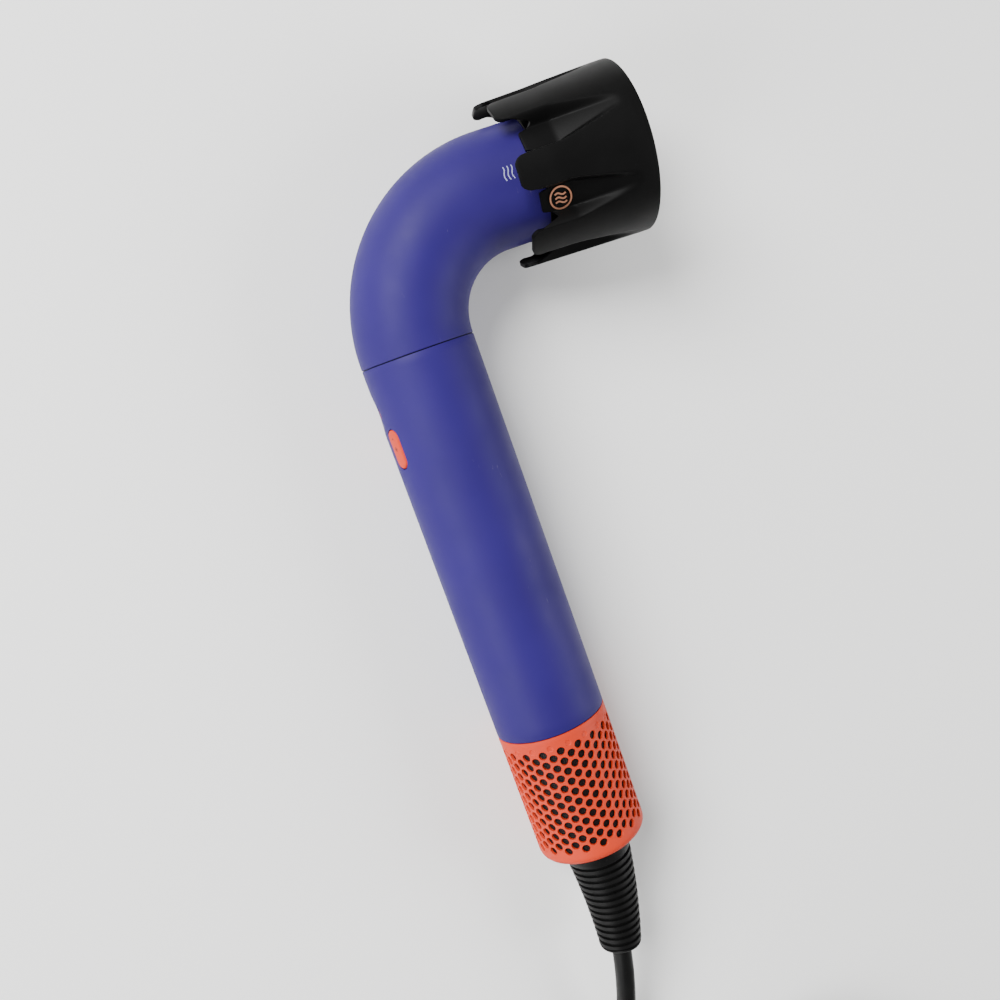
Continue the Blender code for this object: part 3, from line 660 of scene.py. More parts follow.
def make_plug():
    """A flat two-pin plug: a ribbed neck that bends with the lead, a waisted grip and a flat face."""
    place = Matrix.Translation((COIL_CENTRE.x - COIL_OUTER, PLUG_START_Y, PLUG_AXIS_Z)) \
        @ Matrix.Rotation(math.radians(90), 4, "X")
    mouth = CORD_D / 2 + 0.0001
    rows = [plug_ring(0.0060, mouth, mouth), plug_ring(0.0001, mouth, mouth), plug_ring(0.0, 0.0046, 0.0046)]
    neck_ribs, neck_length = 5, 0.0150
    for i in range(4 * neck_ribs + 1):
        height = 0.0004 + neck_length * i / (4 * neck_ribs)
        groove = 0.0006 if i % 4 == 2 else 0.0
        swell = smooth(height / 0.0160)
        rows.append(plug_ring(height, 0.0050 + 0.0012 * swell - groove, 0.0050 + 0.0010 * swell - groove))
    half_wide, half_thick, face = 0.0178, 0.0120, 0.0540
    ridge, ridge_pitch = 0.0003, 0.0024
    stations = [(0.0160, 0.0062, 0.0060), (0.0220, 0.0110, 0.0085), (0.0290, 0.0168, 0.0112),
                (0.0400, half_wide, half_thick), (0.0520, half_wide, half_thick)]
    for (h0, w0, t0), (h1, w1, t1) in zip(stations, stations[1:]):
        for i in range(8):
            ease = smooth(i / 8)
            height = h0 + (h1 - h0) * i / 8
            grip = ridge * max(0.0, math.sin(2 * math.pi * height / ridge_pitch)) \
                * smooth((height - 0.030) / 0.004) * smooth((0.050 - height) / 0.003)
            rows.append(plug_ring(height, w0 + (w1 - w0) * ease - grip, t0 + (t1 - t0) * ease))
    for back, inset in ((0.0020, 0.0), (0.0010, 0.0002), (0.0003, 0.0007), (0.0, 0.0015)):
        rows.append(plug_ring(face - back, half_wide - inset, half_thick - inset))
    body = piece_from("moulded_plug", skin(rows), FINISH["soft_rubber"], place, sharp=45.0)
    belongs(body, "root", "soft_rubber", "plug_body")
    pieces = [body]
    foot, tip = face + GAP, face + GAP + 0.0190
    outline = [(0, tip), (0.0018, tip), (0.0024, tip - 0.0014), (0.0024, foot), (0, foot)]
    for side, x in (("left", -0.0095), ("right", 0.0095)):
        pin = turned("contact_pin_" + side, outline, FINISH["steel"],
                     place @ Matrix.Translation((x, 0, 0)), edge=0.0005, steps=48)
        pieces.append(belongs(pin, "root", "steel", "plug_pin_" + side))
    return pieces


def relief_point(t):
    """The strain relief's centre line, t from under the cap to the tip."""
    return Vector((-RELIEF_SWAY * t * t, CAP_BOTTOM - GAP - RELIEF_LENGTH * t, 0.0))


def relief_radius(t):
    """The radius over the rings, which narrows evenly to the tip."""
    return FLANGE_R + (RELIEF_TIP_R - FLANGE_R) * t


def new_tree(name, result, given):
    """A Geometry Nodes tree with a result and named inputs, and those inputs inside it."""
    tree = bpy.data.node_groups.new(name, "GeometryNodeTree")
    for socket, kind in given.items():
        tree.interface.new_socket(socket, in_out="INPUT", socket_type="NodeSocket" + kind)
    tree.interface.new_socket(result, in_out="OUTPUT", socket_type="NodeSocketGeometry")
    return tree, add(tree, "NodeGroupInput").outputs


def ribs_tree():
    """Rings set along a line, each square to it and scaled to the line's own radius there."""
    tree, given = new_tree("Rings along a line", "Rings",
                           {"Line": "Geometry", "Ring": "Object", "Material": "Material"})
    line = add(tree, "GeometryNodeMeshToCurve", {"Mesh": given["Line"]}, out="Curve")
    tangent = add(tree, "GeometryNodeInputTangent", out="Tangent")
    facing = add(tree, "FunctionNodeAlignRotationToVector", {"Vector": tangent}, out="Rotation", axis="Z")
    reach = add(tree, "GeometryNodeInputNamedAttribute", {"Name": "ring_radius"},
                out="Attribute", data_type="FLOAT")
    size = add(tree, "ShaderNodeCombineXYZ", {"X": reach, "Y": reach, "Z": 1.0}, out="Vector")
    ring = add(tree, "GeometryNodeObjectInfo", {"Object": given["Ring"]}, out="Geometry")
    rings = add(tree, "GeometryNodeInstanceOnPoints",
                {"Points": line, "Instance": ring, "Rotation": facing, "Scale": size}, out="Instances")
    real = add(tree, "GeometryNodeRealizeInstances", {"Geometry": rings}, out="Geometry")
    done = add(tree, "GeometryNodeSetMaterial", {"Geometry": real, "Material": given["Material"]},
               out="Geometry")
    add(tree, "NodeGroupOutput", {"Rings": done})
    return tree


def use_tree(piece, tree, **values):
    """Give a piece a Geometry Nodes tree with these inputs, and keep the result as plain mesh."""
    nodes = piece.modifiers.new("Nodes", "NODES")
    nodes.node_group = tree
    for item in tree.interface.items_tree:
        if item.item_type == "SOCKET" and item.in_out == "INPUT" and item.name in values:
            nodes[item.identifier] = values[item.name]
    return settle(piece)


def make_strain_relief():
    """A smooth collar, then thirteen rings on a thinner core that can flex, then a rounded tip with
    the hole that the lead leaves by."""
    collar = RELIEF_COLLAR / RELIEF_LENGTH      # shares of the length, from the cap to the tip
    rings_start, rings_end = collar + 0.004, 0.965
    groove, sides = 0.0010, 64
    mouth = CORD_D / 2 + 0.0001

    collar_r = relief_radius(collar)
    stations = [(-0.006, FLANGE_R - 0.0008), (0.0, FLANGE_R - 0.0002), (0.012, FLANGE_R),
                (collar - 0.012, collar_r), (collar, collar_r - 0.0004), (rings_start, collar_r - groove)]
    insets = [(t / 20, groove) for t in range(4, 20)]
    insets += [(rings_end, groove), (0.968, 0.0004), (0.975, 0.0001), (0.985, 0.0003)]
    stations += [(t, relief_radius(t) - inset) for t, inset in insets]
    stations += [(0.995, RELIEF_TIP_R - 0.0010), (1.0, RELIEF_TIP_R - 0.0021),
                 (1.0, mouth + 0.0002), (0.998, mouth), (0.90, mouth)]
    side = Vector((0, 0, 1))
    rows = []
    for t, radius in stations:
        ahead = (relief_point(t + 0.01) - relief_point(t - 0.01)).normalized()
        other = ahead.cross(side)
        rows.append([relief_point(t) + radius * (side * c + other * s) for c, s in circle(sides)])
    core = piece_from("relief_core", skin(rows), FINISH["soft_rubber"], HANDSET)

    inner, outer_half, inner_half = 0.80, 0.00060, 0.00075      # of a ring, for a radius of 1
    ring = turned("ring_pattern",
                  [(inner, inner_half), (1.0, outer_half), (1.0, -outer_half), (inner, -inner_half)],
                  FINISH["soft_rubber"], None, edge=0.00045, steps=sides)
    line = bpy.data.meshes.new("strain_relief_moulding")
    pitch = (rings_end - rings_start) / RELIEF_RIBS
    places = [rings_start + pitch * (i + 0.5) for i in range(RELIEF_RIBS)]
    line.from_pydata([relief_point(t) for t in places], [(i, i + 1) for i in range(RELIEF_RIBS - 1)], [])
    radii = line.attributes.new("ring_radius", "FLOAT", "POINT")
    radii.data.foreach_set("value", [relief_radius(t) for t in places])
    line.transform(HANDSET)
    relief = placed("strain_relief_moulding", line)
    use_tree(relief, ribs_tree(), Ring=ring, Material=FINISH["soft_rubber"])
    bpy.data.objects.remove(ring)
    joined = united("strain_relief_moulding", [relief, core])
    return belongs(joined, "root", "soft_rubber", "strain_relief")


def united(name, pieces):
    """Put several meshes in the first one's object, and remove the rest."""
    build = bmesh.new()
    for piece in pieces:
        build.from_mesh(piece.data)
    kept = pieces[0]
    kept.data = mesh_from(name, build, *kept.data.materials)
    kept.name = name
    for piece in pieces[1:]:
        bpy.data.objects.remove(piece)
    soften(kept)
    return kept


# ---------------------------------------------------------------- the casing
def dished_radius(angle, height):
    """Outer radius of the handle, which dips round the power button; angle is from the front."""
    reach = TUBE_R - DISH_DEPTH + DISH_R
    off = angle - math.pi
    inside = DISH_R ** 2 - (height - POWER_Y) ** 2 - (reach * math.sin(off)) ** 2
    if math.cos(off) < 0.5 or inside < 0:
        return TUBE_R
    ball = reach * math.cos(off) - math.sqrt(inside)
    blend = 0.00025
    share = min(max(0.5 + 0.5 * (TUBE_R - ball) / blend, 0.0), 1.0)
    return TUBE_R + (ball - TUBE_R) * share - blend * share * (1 - share)


def pill_section(length, width, height, sides=20, crown=0.0):
    """A slot-shaped ring, long along Y; crown bends it down at its sides as a tube does."""
    radius = width / 2
    reach = length / 2 - radius
    points = []
    for end, first in ((1, 0), (-1, 180)):
        for i in range(sides + 1):
            angle = math.radians(first + 180 * i / sides)
            x = radius * math.cos(angle)
            drop = crown * (TUBE_R - math.sqrt(TUBE_R ** 2 - x * x))
            points.append((x, end * reach + radius * math.sin(angle), height - drop))
    return points


def make_handle():
    """The grip tube: softened ends, the dished recess on its back and the three button openings."""
    sides = 224
    angles = [2 * math.pi * i / sides for i in range(sides)]
    around = circle(sides)
    dish_top, dish_bottom, dish_step = -0.0030, -0.0345, 0.0005
    soft = 0.00015                              # radius of the two softened ends
    heights = [-SEAM, -SEAM - 0.00005, -SEAM - soft]
    height = dish_top
    while height > dish_bottom:
        heights.append(height)
        height -= dish_step
    heights += [dish_bottom - i * (HANDLE_LENGTH + dish_bottom - soft) / 24 for i in range(25)]
    heights += [-HANDLE_LENGTH + 0.00005, -HANDLE_LENGTH]
    last = len(heights) - 1
    insets = {0: soft, 1: 0.00005, last: soft, last - 1: 0.00005}
    rows = []
    for i, height in enumerate(heights):
        radii = [dished_radius(a, height) - insets.get(i, 0.0) for a in angles]
        rows.append([(r * c, r * s, height) for r, (c, s) in zip(radii, around)])
    for height in (-HANDLE_LENGTH, dish_bottom, dish_top, -SEAM):
        rows.append([(BORE_R * c, BORE_R * s, height) for c, s in around])
    shell = FINISH["shell_plastic"]
    handle = piece_from("handle_tube", skin(rows, joined=True), shell, GRIP)
    inside, outside = 0.0140, 0.0210            # reach of the openings, out from the handle's axis
    cutters = [turned("power_opening", band(0, 0.0034, inside, outside), shell, seat(POWER_Y, 90),
                      edge=0.00001, steps=48)]
    for angle in (PILL_ANGLE, 180 - PILL_ANGLE):
        rings = [pill_section(PILL_LENGTH + 2 * GAP, PILL_WIDTH + 2 * GAP, height)
                 for height in (inside, outside + 0.0005)]
        cutters.append(piece_from("pill_opening", skin(rings), shell, seat(PILL_Y, angle)))
    carve(handle, cutters)
    return belongs(handle, "root", "shell_plastic", "handle_shell")


def bend_ring(turn, radius, ahead=0.0):
    """A ring round the neck's centre line at an angle round the bend, moved ahead along the line."""
    centre = Vector((BEND_R * (1 - math.cos(turn)), BEND_START + BEND_R * math.sin(turn), 0))
    centre += ahead * Vector((math.sin(turn), math.cos(turn), 0))
    out = Vector((-math.cos(turn), math.sin(turn), 0))
    return [centre + radius * (out * c + Vector((0, 0, 1)) * s) for c, s in circle(144)]


def make_neck():
    """One tube of even diameter through the bend and out to the nozzle."""
    quarter = math.pi / 2
    foot, end = SEAM - BEND_START, NECK_STRAIGHT
    soft, round_r = 0.00015, 0.0005             # of the foot's edge and of the nozzle's
    stations = [(0, BORE_R, foot), (0, TUBE_R - soft, foot), (0, TUBE_R - 0.00005, foot + 0.00005),
                (0, TUBE_R, foot + soft)]
    stations += [(quarter * i / 48, TUBE_R, 0.0) for i in range(49)]
    stations += [(quarter, TUBE_R, end * i / 12) for i in range(1, 12)]
    stations += [(quarter, TUBE_R, end - round_r), (quarter, TUBE_R - 0.00015, end - 0.00015),
                 (quarter, TUBE_R - round_r, end), (quarter, BORE_R, end), (quarter, BORE_R, 0.0)]
    stations += [(quarter * i / 24, BORE_R, 0.0) for i in range(23, 0, -1)]
    rows = [bend_ring(*station) for station in stations]
    neck = piece_from("neck_tube", skin(rows, joined=True), FINISH["shell_plastic"], HANDSET)
    return belongs(neck, "root", "shell_plastic", "neck_shell")


def make_inner_sleeves():
    """The joint sleeve, whose thin rib shows as the dark line of the seam, and the metal ring just
    inside the outlet."""
    bore, fit, top, bottom = 0.0155, BORE_R - GAP, 0.0030, -0.0060
    rib_r, rib = TUBE_R - 0.0003, SEAM - 0.00002
    outline = [(bore, top), (fit, top), (fit, rib), (rib_r, rib),
               (rib_r, -rib), (fit, -rib), (fit, bottom), (bore, bottom)]
    sleeve = turned("joint_sleeve", outline, FINISH["black_plastic"], GRIP, edge=0.0001)
    belongs(sleeve, "root", "black_plastic", "seam_collar")
    ring = turned("outlet_liner_ring", band(0.0156, BORE_R - GAP, 0.0178, NECK_STRAIGHT - GAP),
                  FINISH["aluminium"], NOZZLE)
    belongs(ring, "root", "aluminium", "outlet_ring")


# ---------------------------------------------------------------- the inlet
def repeat_tree():
    """One sector of a round part, repeated round its Z and welded to its neighbours."""
    tree, given = new_tree("Sectors round an axis", "Part",
                           {"Sector": "Geometry", "Count": "Int", "Weld Distance": "Float",
                            "Material": "Material"})
    places = add(tree, "GeometryNodeMeshLine", {"Count": given["Count"], "Offset": (0.0, 0.0, 0.0)},
                 out="Mesh")
    index = add(tree, "GeometryNodeInputIndex", out="Index")
    step = add(tree, "ShaderNodeMath", {0: 2 * math.pi, 1: given["Count"]}, out=0, operation="DIVIDE")
    angle = add(tree, "ShaderNodeMath", {0: step, 1: index}, out=0, operation="MULTIPLY")
    turn = add(tree, "ShaderNodeCombineXYZ", {"Z": angle}, out="Vector")
    sectors = add(tree, "GeometryNodeInstanceOnPoints",
                  {"Points": places, "Instance": given["Sector"], "Rotation": turn}, out="Instances")
    real = add(tree, "GeometryNodeRealizeInstances", {"Geometry": sectors}, out="Geometry")
    welded = add(tree, "GeometryNodeMergeByDistance",
                 {"Geometry": real, "Distance": given["Weld Distance"]}, out="Geometry")
    done = add(tree, "GeometryNodeSetMaterial", {"Geometry": welded, "Material": given["Material"]},
               out="Geometry")
    add(tree, "NodeGroupOutput", {"Part": done})
    return tree


def stitch(build, outer, inner):
    """Fill between two rings that run the same way round the same centre."""
    i = j = 0
    while i < len(outer) or j < len(inner):
        a, b = outer[i % len(outer)], inner[j % len(inner)]
        if j >= len(inner) or (i < len(outer) and i * len(inner) <= j * len(outer)):
            i += 1
            build.faces.new((a, outer[i % len(outer)], b))
        else:
            j += 1
            build.faces.new((a, inner[j % len(inner)], b))


def cage_cell(build, place, column, low, high, kind):
    """One cell of the cage wall, from low to high, with a hole, a blind dimple or nothing in it."""
    middle = (low + high) / 2
    outline = [(0.5, low), (1.0, low), (1.0, middle), (1.0, high),
               (0.5, high), (0.0, high), (0.0, middle), (0.0, low)]
    if kind == "plain":
        outline = [(u, v) for u, v in outline if v != middle]
    front, back = [[build.verts.new(place(column + u, v, depth)) for u, v in outline]
                   for depth in (0.0, CAGE_WEB)]
    if kind == "plain":
        build.faces.new(front)
        build.faces.new(back[::-1])
        return
    width = 2 * math.pi * TUBE_R / CAGE_COLUMNS
    radius, chamfer = HOLE_R, 0.0001
    levels = [(radius + chamfer, 0.0), (radius, chamfer), (radius, CAGE_WEB)]
    if kind == "dimple":
        radius = 0.7 * HOLE_R
        levels = [(radius + chamfer, 0.0), (radius, chamfer), (0.8 * radius, 0.00022)]
    rings = [[build.verts.new(place(column + 0.5 + r * c / width, middle + r * s, depth))
              for c, s in circle(12, -math.pi / 2)] for r, depth in levels]
    stitch(build, front, rings[0])
    bridge(build, rings)
    if kind == "hole":
        stitch(build, back[::-1], rings[-1][::-1])
    else:
        build.faces.new(rings[-1])
        build.faces.new(back[::-1])


def cage_sector():
    """Two columns of the cage from its top edge to its bottom edge, in the grip's frame."""
    build = bmesh.new()

    def place(u, v, depth):
        """A point u columns round the cage, v below its top edge and a depth into its wall."""
        angle = math.radians(-90.0 - CAGE_TURN) + 2 * math.pi * (u - 0.5) / CAGE_COLUMNS
        radius = TUBE_R - depth
        return (radius * math.cos(angle), radius * math.sin(angle), CAGE_TOP - v)

    top = DIMPLE_V - HOLE_PITCH / 2
    bottom = DIMPLE_V + (HOLE_ROWS + 0.5) * HOLE_PITCH
    for row in range(HOLE_ROWS + 1):
        low = top + row * HOLE_PITCH
        cage_cell(build, place, 0, low, low + HOLE_PITCH, "hole" if row else "dimple")
        if row < HOLE_ROWS:
            cage_cell(build, place, 1, low + HOLE_PITCH / 2, low + 1.5 * HOLE_PITCH, "hole")
    cage_cell(build, place, 1, top, top + HOLE_PITCH / 2, "plain")
    cage_cell(build, place, 1, bottom - HOLE_PITCH / 2, bottom, "plain")

    # The two plain bands, as (depth, distance below the top edge) from the outside to the inside.
    slope = 0.0004                              # height of the step from a band to the web
    upper = [(0.0, top), (0.0, 0.00015), (0.00005, 0.00005), (0.00015, 0.0), (CAGE_WALL, 0.0),
             (CAGE_WALL, top - slope), (CAGE_WEB, top)]
    lip = TUBE_R - CAGE_MOUTH_R
    curve = [(CAGE_EDGE_R - r, CAGE_LENGTH - h) for r, h in arc((0, CAGE_EDGE_R), CAGE_EDGE_R, 0, -90, 8)]
    lower = [(0.0, bottom), *curve, (lip, CAGE_LENGTH), (lip, CAGE_LENGTH - 0.0016),
             (CAGE_WALL, CAGE_LENGTH - 0.0030), (CAGE_WALL, bottom + slope), (CAGE_WEB, bottom)]
    for profile in (upper, lower):
        for (d0, v0), (d1, v1) in zip(profile, profile[1:]):
            for step in range(4):
                u0, u1 = step / 2, (step + 1) / 2
                quad = [place(u0, v0, d0), place(u1, v0, d0), place(u1, v1, d1), place(u0, v1, d1)]
                build.faces.new([build.verts.new(p) for p in quad])
    bmesh.ops.remove_doubles(build, verts=build.verts, dist=WELD)
    bmesh.ops.recalc_face_normals(build, faces=build.faces)
    return build


def make_cage():
    """The pull-off inlet cage: staggered round holes with broken edges, a row of blind dimples
    above them, and a rounded lower edge."""
    cage = placed("perforated_cage", mesh_from("perforated_cage", cage_sector()))
    use_tree(cage, repeat_tree(), **{"Count": CAGE_COLUMNS // 2, "Weld Distance": 10 * WELD,
                                     "Material": FINISH["accent_plastic"]})
    build = bmesh.new()
    build.from_mesh(cage.data)
    bpy.data.objects.remove(cage)
    bmesh.ops.recalc_face_normals(build, faces=build.faces)
    cage = piece_from("perforated_cage", build, FINISH["accent_plastic"], GRIP, sharp=30.0)
    return belongs(cage, "cage", "accent_plastic", "filter_cage")


def make_inlet_core():
    """The cloth bonded inside the cage, and what shows when the cage is off: a second layer of
    cloth, in a windowed frame, over the base plate."""
    black = FINISH["black_plastic"]
    wall = band(TUBE_R - CAGE_WALL, TUBE_R - CAGE_WEB - 0.0001, CAGE_BOTTOM + 0.0045, CAGE_TOP - 0.0025)
    lining = turned("cage_lining", wall, WIRE_CLOTH, GRIP, edge=0.0001)
    belongs(lining, "cage", "steel")
    layer = band(FRAME_R - 0.0008, FRAME_R - GAP, CAGE_BOTTOM + 0.0030, CAGE_TOP - 0.0010)
    cloth = turned("wire_cloth", layer, WIRE_CLOTH, GRIP, edge=0.0001)
    belongs(cloth, "root", "steel", "inlet_mesh")

    # The frame's rib fills the joint line above the cage.
    spigot, rib_r, head, foot = BORE_R - GAP, TUBE_R - 0.0003, CAGE_TOP + 0.0080, CAGE_BOTTOM + 0.0022
    high, low = CAGE_TOP + GAP - 0.00003, CAGE_TOP + 0.00003
    outline = [(FRAME_R, head), (spigot, head), (spigot, high), (rib_r, high),
               (rib_r, low), (spigot, low), (CAP_R, low), (CAP_R, foot), (FRAME_R, foot)]
    holder = turned("cloth_frame", outline, black, GRIP, edge=0.0001)
    window_length, window_width, reach = CAGE_LENGTH - 0.0100, 0.0124, 0.0200
    middle = (CAGE_TOP - 0.0040 + CAGE_BOTTOM + 0.0060) / 2
    cutters = []
    for i in range(3):
        rings = [pill_section(window_length, window_width, h, sides=8) for h in (-reach, reach)]
        place = GRIP @ Matrix.Translation((0, 0, middle)) @ Matrix.Rotation(math.radians(60 * i), 4, "Z") \
            @ Matrix.Rotation(math.radians(90), 4, "Y") @ Matrix.Rotation(math.radians(90), 4, "Z")
        cutters.append(piece_from("window", skin(rings), black, place))
    carve(holder, cutters)
    belongs(holder, "root", "black_plastic", "inlet_frame")

    bore, top, ledge = 0.0067, CAGE_BOTTOM + 0.0018, CAP_BOTTOM + 0.0004
    outline = [(bore, top), (CAP_R, top), (CAP_R, CAP_BOTTOM), (FLANGE_R + 0.0006, CAP_BOTTOM),
               (FLANGE_R + 0.0004, ledge), (bore, ledge)]
    cap = turned("base_plate", outline, black, GRIP)
    belongs(cap, "root", "black_plastic", "base_cap")


# ---------------------------------------------------------------- the buttons
def strokes(name, lines, width, thick, place, finish):
    """Thin flat ribbons along lines of (u, v) points, laid on a surface by place(u, v, height)."""
    build = bmesh.new()
    for line in lines:
        points = [Vector(p) for p in line]
        rings = []
        for i, point in enumerate(points):
            ahead = (points[min(i + 1, len(points) - 1)] - points[max(i - 1, 0)]).normalized()
            across = Vector((-ahead.y, ahead.x)) * width / 2
            left, right = point - across, point + across
            corners = [(left, 0.0), (right, 0.0), (right, thick), (left, thick)]
            rings.append([build.verts.new(place(q.x, q.y, h)) for q, h in corners])
        bridge(build, rings, capped=True)
    bmesh.ops.recalc_face_normals(build, faces=build.faces)
    return piece_from(name, build, finish, HANDSET, sharp=30.0)


def make_pill(body, angle, node):
    """A slot-shaped push button on a wider foot, crowned to follow the handle."""
    foot, inside = 0.0153, BORE_R - 0.0006
    levels = [(-0.0012, foot, 0), (-0.0012, inside - 0.0005, 0), (0.0, inside - 0.0003, 0),
              (0.0, KEY_TOP - 0.0007, 0.9), (0.0002, KEY_TOP - 0.00035, 0.95),
              (0.0006, KEY_TOP - 0.00012, 1.0)]
    levels += [(0.0012 + 0.0010 * i, KEY_TOP, 1.0) for i in range(5)]
    rows = [pill_section(PILL_LENGTH - inset, PILL_WIDTH - inset, height, crown=crown)
            for inset, height, crown in levels]
    button = piece_from(body, skin(rows), FINISH["accent_plastic"], seat(PILL_Y, angle), sharp=40.0)
    return belongs(button, body, "accent_plastic", node)


def make_buttons():
    """The two pill keys, the round power key in its dish, and the pills' printed bar and cross."""
    pills = (("speed_key", PILL_ANGLE, "speed_button"), ("heat_key", 180 - PILL_ANGLE, "heat_button"))
    for body, angle, node in pills:
        make_pill(body, angle, node)

    top, foot, shoulder = TUBE_R - DISH_DEPTH + 0.0002, 0.0148, 0.0163
    cap_r, foot_r = 0.0031, 0.0037
    outline = [(0, top - 0.0001), (0.0018, top - 0.00005), (0.0026, top), (cap_r, top - 0.0004),
               (cap_r, shoulder), (foot_r, shoulder), (foot_r, foot), (0, foot)]
    power = turned("power_key", outline, FINISH["accent_plastic"], seat(POWER_Y, 90), edge=0.0002, steps=64)
    belongs(power, "power_key", "accent_plastic", "power_button")

    bar, cross_y = PILL_Y + 0.0036, PILL_Y + 0.0002
    lines = [[(-0.0004, bar), (0.0004, bar)], [(-0.0007, cross_y), (0.0007, cross_y)],
             [(0.0, cross_y - 0.0007), (0.0, cross_y + 0.0007)]]
    for body, angle, _ in pills:
        outward = HANDSET.inverted() @ seat(0, angle)

        def place(u, v, height, outward=outward):
            sag = TUBE_R - math.sqrt(TUBE_R ** 2 - u * u)
            return outward @ Vector((u, v, KEY_TOP + PRINT_LIFT + height - sag))

        mark = strokes(body + "_mark", lines, 0.00055, 0.00003, place, PRINT["red"])
        belongs(mark, body, "accent_plastic")


# ---------------------------------------------------------------- the attachment
def cup_edge(offset):
    """How far forward the back edge lies, at an angle in degrees from a finger's middle."""
    away = abs(offset)
    tip_depth = 0.0040                          # of a finger's round end
    flat_to, side_from, side_to, valley_from = 6, 12, 14.4, 18
    if away <= side_from:
        turn = max(0.0, (away - flat_to) / (side_from - flat_to))
        return CUP_TIP_X + tip_depth * (1 - math.sqrt(1 - turn * turn))
    if away <= side_to:
        corner = CUP_TIP_X + tip_depth
        return corner + (CUP_NOTCH_X - corner) * smooth((away - side_from) / (side_to - side_from))
    return CUP_NOTCH_X + (CUP_VALLEY_X - CUP_NOTCH_X) * smooth((away - side_to) / (valley_from - side_to))


def cup_radius(offset, x):
    """Outer radius, with flutes between the fingers that narrow and rise towards the rim."""
    lobe = CUP_BACK_R + (CUP_RIM_R - CUP_BACK_R) * min(x / CUP_LEVEL_X, 1.0)
    run = min(max((x - CUP_FLAT_X) / (CUP_FADE_X - CUP_FLAT_X), 0.0), 1.0)
    start, narrowing, wall = 11.5, 9.0, 4.5     # degrees from the finger's middle
    return lobe - CUP_FLUTE * (1 - run) * smooth((abs(offset) - start - narrowing * run) / wall)


def nozzle_point(angle, radius, x):
    """A point round the nozzle in the handset's frame; the angle is in degrees from +Z down."""
    turn = math.radians(angle)
    return Vector((NOZZLE_X + x, NOZZLE_Y - radius * math.sin(turn), radius * math.cos(turn)))


def make_cup():
    """The fingered air attachment: a thin flared wall whose back edge is cut into seven round-ended
    fingers, with a flute between each two that runs out before the rim."""
    half = FINGER_PERIOD / 2
    fine_from, fine_to = 9.5, 18.5              # degrees, where the wall turns down into the flute
    offsets = [float(i) for i in range(10)] + [fine_from + 0.5 * i for i in range(18)] \
        + [round(fine_to + i * (half - fine_to) / 8, 3) for i in range(8)]
    angles = []
    for finger in range(FINGERS):
        middle = FINGER_TURN + finger * FINGER_PERIOD
        angles += [(middle + offset, offset) for offset in [-o for o in offsets[:0:-1]] + offsets]
        angles.append((middle + half, half))
    rows = 40
    build = bmesh.new()
    grid = []
    for row in range(rows + 1):
        ring = []
        for angle, offset in angles:
            edge = cup_edge(offset)
            x = edge + (CUP_RIM_X - edge) * row / rows
            ring.append(build.verts.new(nozzle_point(angle, cup_radius(offset, x), x)))
        grid.append(ring)
    bridge(build, grid)
    bmesh.ops.recalc_face_normals(build, faces=build.faces)
    bmesh.ops.transform(build, matrix=HANDSET, verts=build.verts)
    cup = placed("fingered_attachment", mesh_from("fingered_attachment", build, FINISH["black_plastic"]))
    wall = cup.modifiers.new("Wall", "SOLIDIFY")
    wall.thickness = CUP_WALL
    wall.offset = -1
    edge = cup.modifiers.new("Edge", "BEVEL")
    edge.width = 0.0004
    edge.segments = 3
    edge.limit_method = "ANGLE"
    edge.angle_limit = math.radians(50)
    settle(cup, 40.0)
    return belongs(cup, "attachment", "black_plastic", "attachment_cup")


def make_retainer():
    """Inside the cup: a ring on seven short spokes, and the sliding collar with its magnet."""
    black = FINISH["black_plastic"]
    back, front, half_width = 0.0288, 0.0304, 0.0008
    ring = turned("retainer_ring", band(0.0170, 0.0205, back, front), black, NOZZLE)
    section = [(back, -half_width), (front, -half_width), (front, half_width), (back, half_width)]
    rings = [[(-z, y, r) for z, y in section] for r in (0.0200, 0.0229)]
    spokes = []
    for finger in range(FINGERS):
        turn = math.pi + math.radians(FINGER_TURN + (finger + 0.5) * FINGER_PERIOD)
        place = NOZZLE @ Matrix.Rotation(turn, 4, "Z") @ Matrix.Rotation(math.radians(90), 4, "Y")
        spokes.append(piece_from("spoke", skin(rings), black, place))
    carve(ring, spokes, "UNION")
    belongs(ring, "attachment", "black_plastic", "cup_retainer")

    inner, outer, shoulder, face = TUBE_R + GAP, 0.0200, NECK_STRAIGHT + GAP, NECK_STRAIGHT + 0.0022
    skirt, mouth = 0.0130, 0.0165
    outline = [(inner, skirt), (inner, shoulder), (mouth, shoulder), (mouth, face),
               (outer, face), (outer, skirt)]
    collar = turned("sliding_collar", outline, black, NOZZLE, edge=0.0002)
    belongs(collar, "coupler", "black_plastic", "coupler_ring")
    low = face + GAP
    magnet = turned("collar_magnet", band(0.0170, 0.0198, low, low + 0.0020), FINISH["steel"], NOZZLE)
    belongs(magnet, "coupler", "steel", "coupler_magnet")


def make_grille():
    """The outlet grille: rows of round holes in a black disc."""
    back, front, hole_r = 0.0208, 0.0222, 0.0019
    grille = turned("hole_grille", band(0, 0.0152, back, front), FINISH["black_plastic"], NOZZLE)
    holes = bmesh.new()
    for row, count in ((0.0050, 6), (0.0105, 12)):
        for c, s in circle(count):
            made = bmesh.ops.create_cone(holes, cap_ends=True, segments=24, radius1=hole_r,
                                         radius2=hole_r, depth=0.0040)
            bmesh.ops.translate(holes, vec=(row * c, row * s, (back + front) / 2), verts=made["verts"])
    cutter = piece_from("grille_holes", holes, FINISH["black_plastic"], NOZZLE)
    carve(grille, [cutter])
    return belongs(grille, "root", "black_plastic", "outlet_grille")


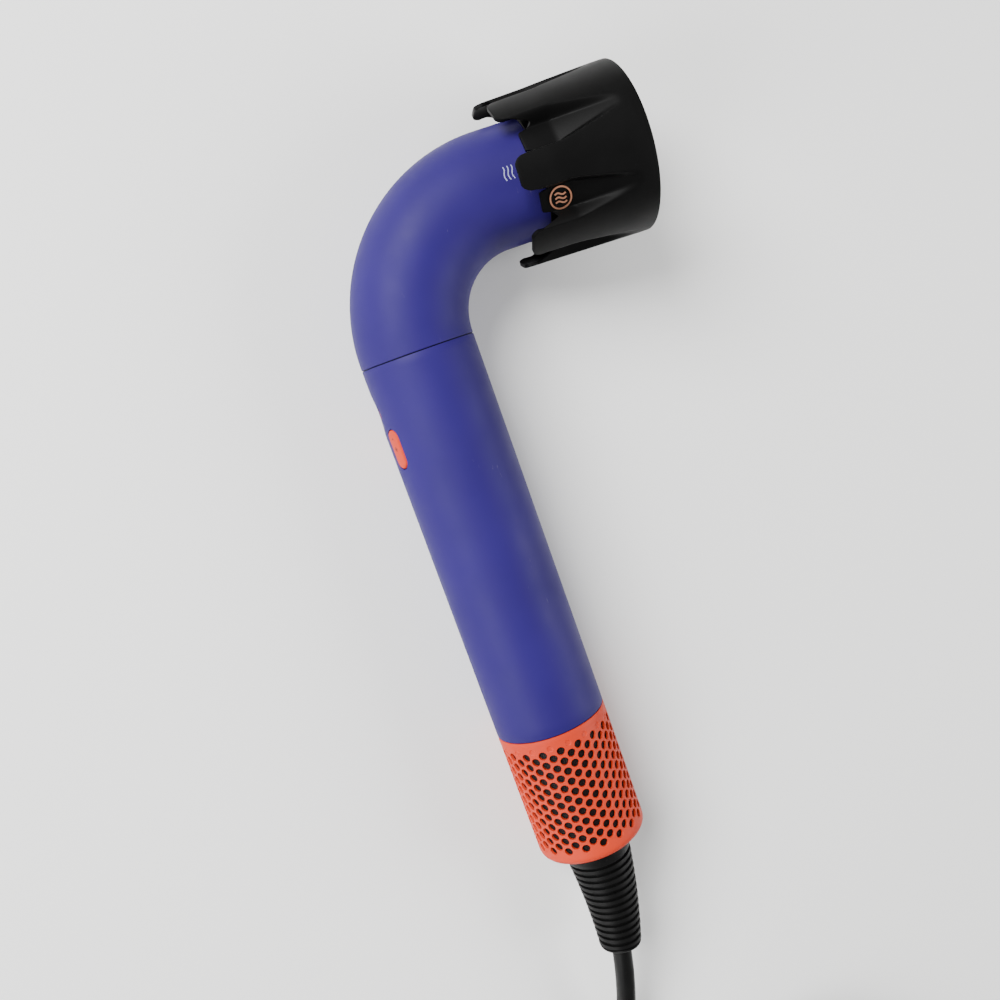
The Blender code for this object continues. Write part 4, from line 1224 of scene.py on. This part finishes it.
def wave(start, length, height, count=24):
    """One turn of a wavy line along +X from a start point."""
    return [(start[0] + length * i / count, start[1] + height * math.sin(2 * math.pi * i / count))
            for i in range(count + 1)]


def make_badge():
    """A copper ring round three strokes of moving air, pressed on the floor of one flute."""
    half = FINGER_PERIOD / 2
    radius, stroke, half_length, apart = 0.0034, 0.00050, 0.0018, 0.0013

    def place(u, v, height):
        x = BADGE_X + u
        floor = cup_radius(half, x)
        return nozzle_point(FINGER_TURN + half - math.degrees(v / floor), floor + 0.0002 + height, x)

    ring = [(radius * math.cos(math.radians(6 * i)), radius * math.sin(math.radians(6 * i)))
            for i in range(61)]
    lines = [ring] + [wave((-half_length, apart * k), 2 * half_length, 0.00035) for k in (-1, 0, 1)]
    badge = strokes("airflow_badge", lines, stroke, 0.00020, place, FINISH["copper"])
    return belongs(badge, "attachment", "copper", "attachment_badge")


def make_neck_mark():
    """Three pale printed strokes of moving air beside the attachment's front finger."""
    near, left, length, sway, apart = 0.0018, -0.0030, 0.0042, 0.00028, 0.0013

    def place(u, v, height):
        return nozzle_point(math.degrees(v / TUBE_R), TUBE_R + 2 * PRINT_LIFT + height, u)

    lines = [[(near + sway * math.sin(2 * math.pi * t / 16 + 0.5) + apart * k, left + length * t / 16)
              for t in range(17)] for k in range(3)]
    mark = strokes("airflow_mark", lines, 0.00032, 0.00002, place, PRINT["white"])
    return belongs(mark, "root", "shell_plastic")


# ---------------------------------------------------------------- the whole
def finish_inner_parts():
    """Give each CAD part that stays the finish of its own material slot."""
    slots = {part["node"]: part["material_slot"] for part in frame["record"]["subparts"]}
    for name, node in frame["nodes"].items():
        for held in node.material_slots:
            held.material = FINISH[slots[name]]


def main():
    make_camera()
    make_studio()
    finish_inner_parts()
    lead, path, length = make_lead()
    tie = make_tie()
    plug = make_plug()
    make_strain_relief()
    make_handle()
    make_neck()
    make_inner_sleeves()
    make_cage()
    make_inlet_core()
    make_buttons()
    make_cup()
    make_retainer()
    make_grille()
    make_badge()
    make_neck_mark()
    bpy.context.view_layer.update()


main()
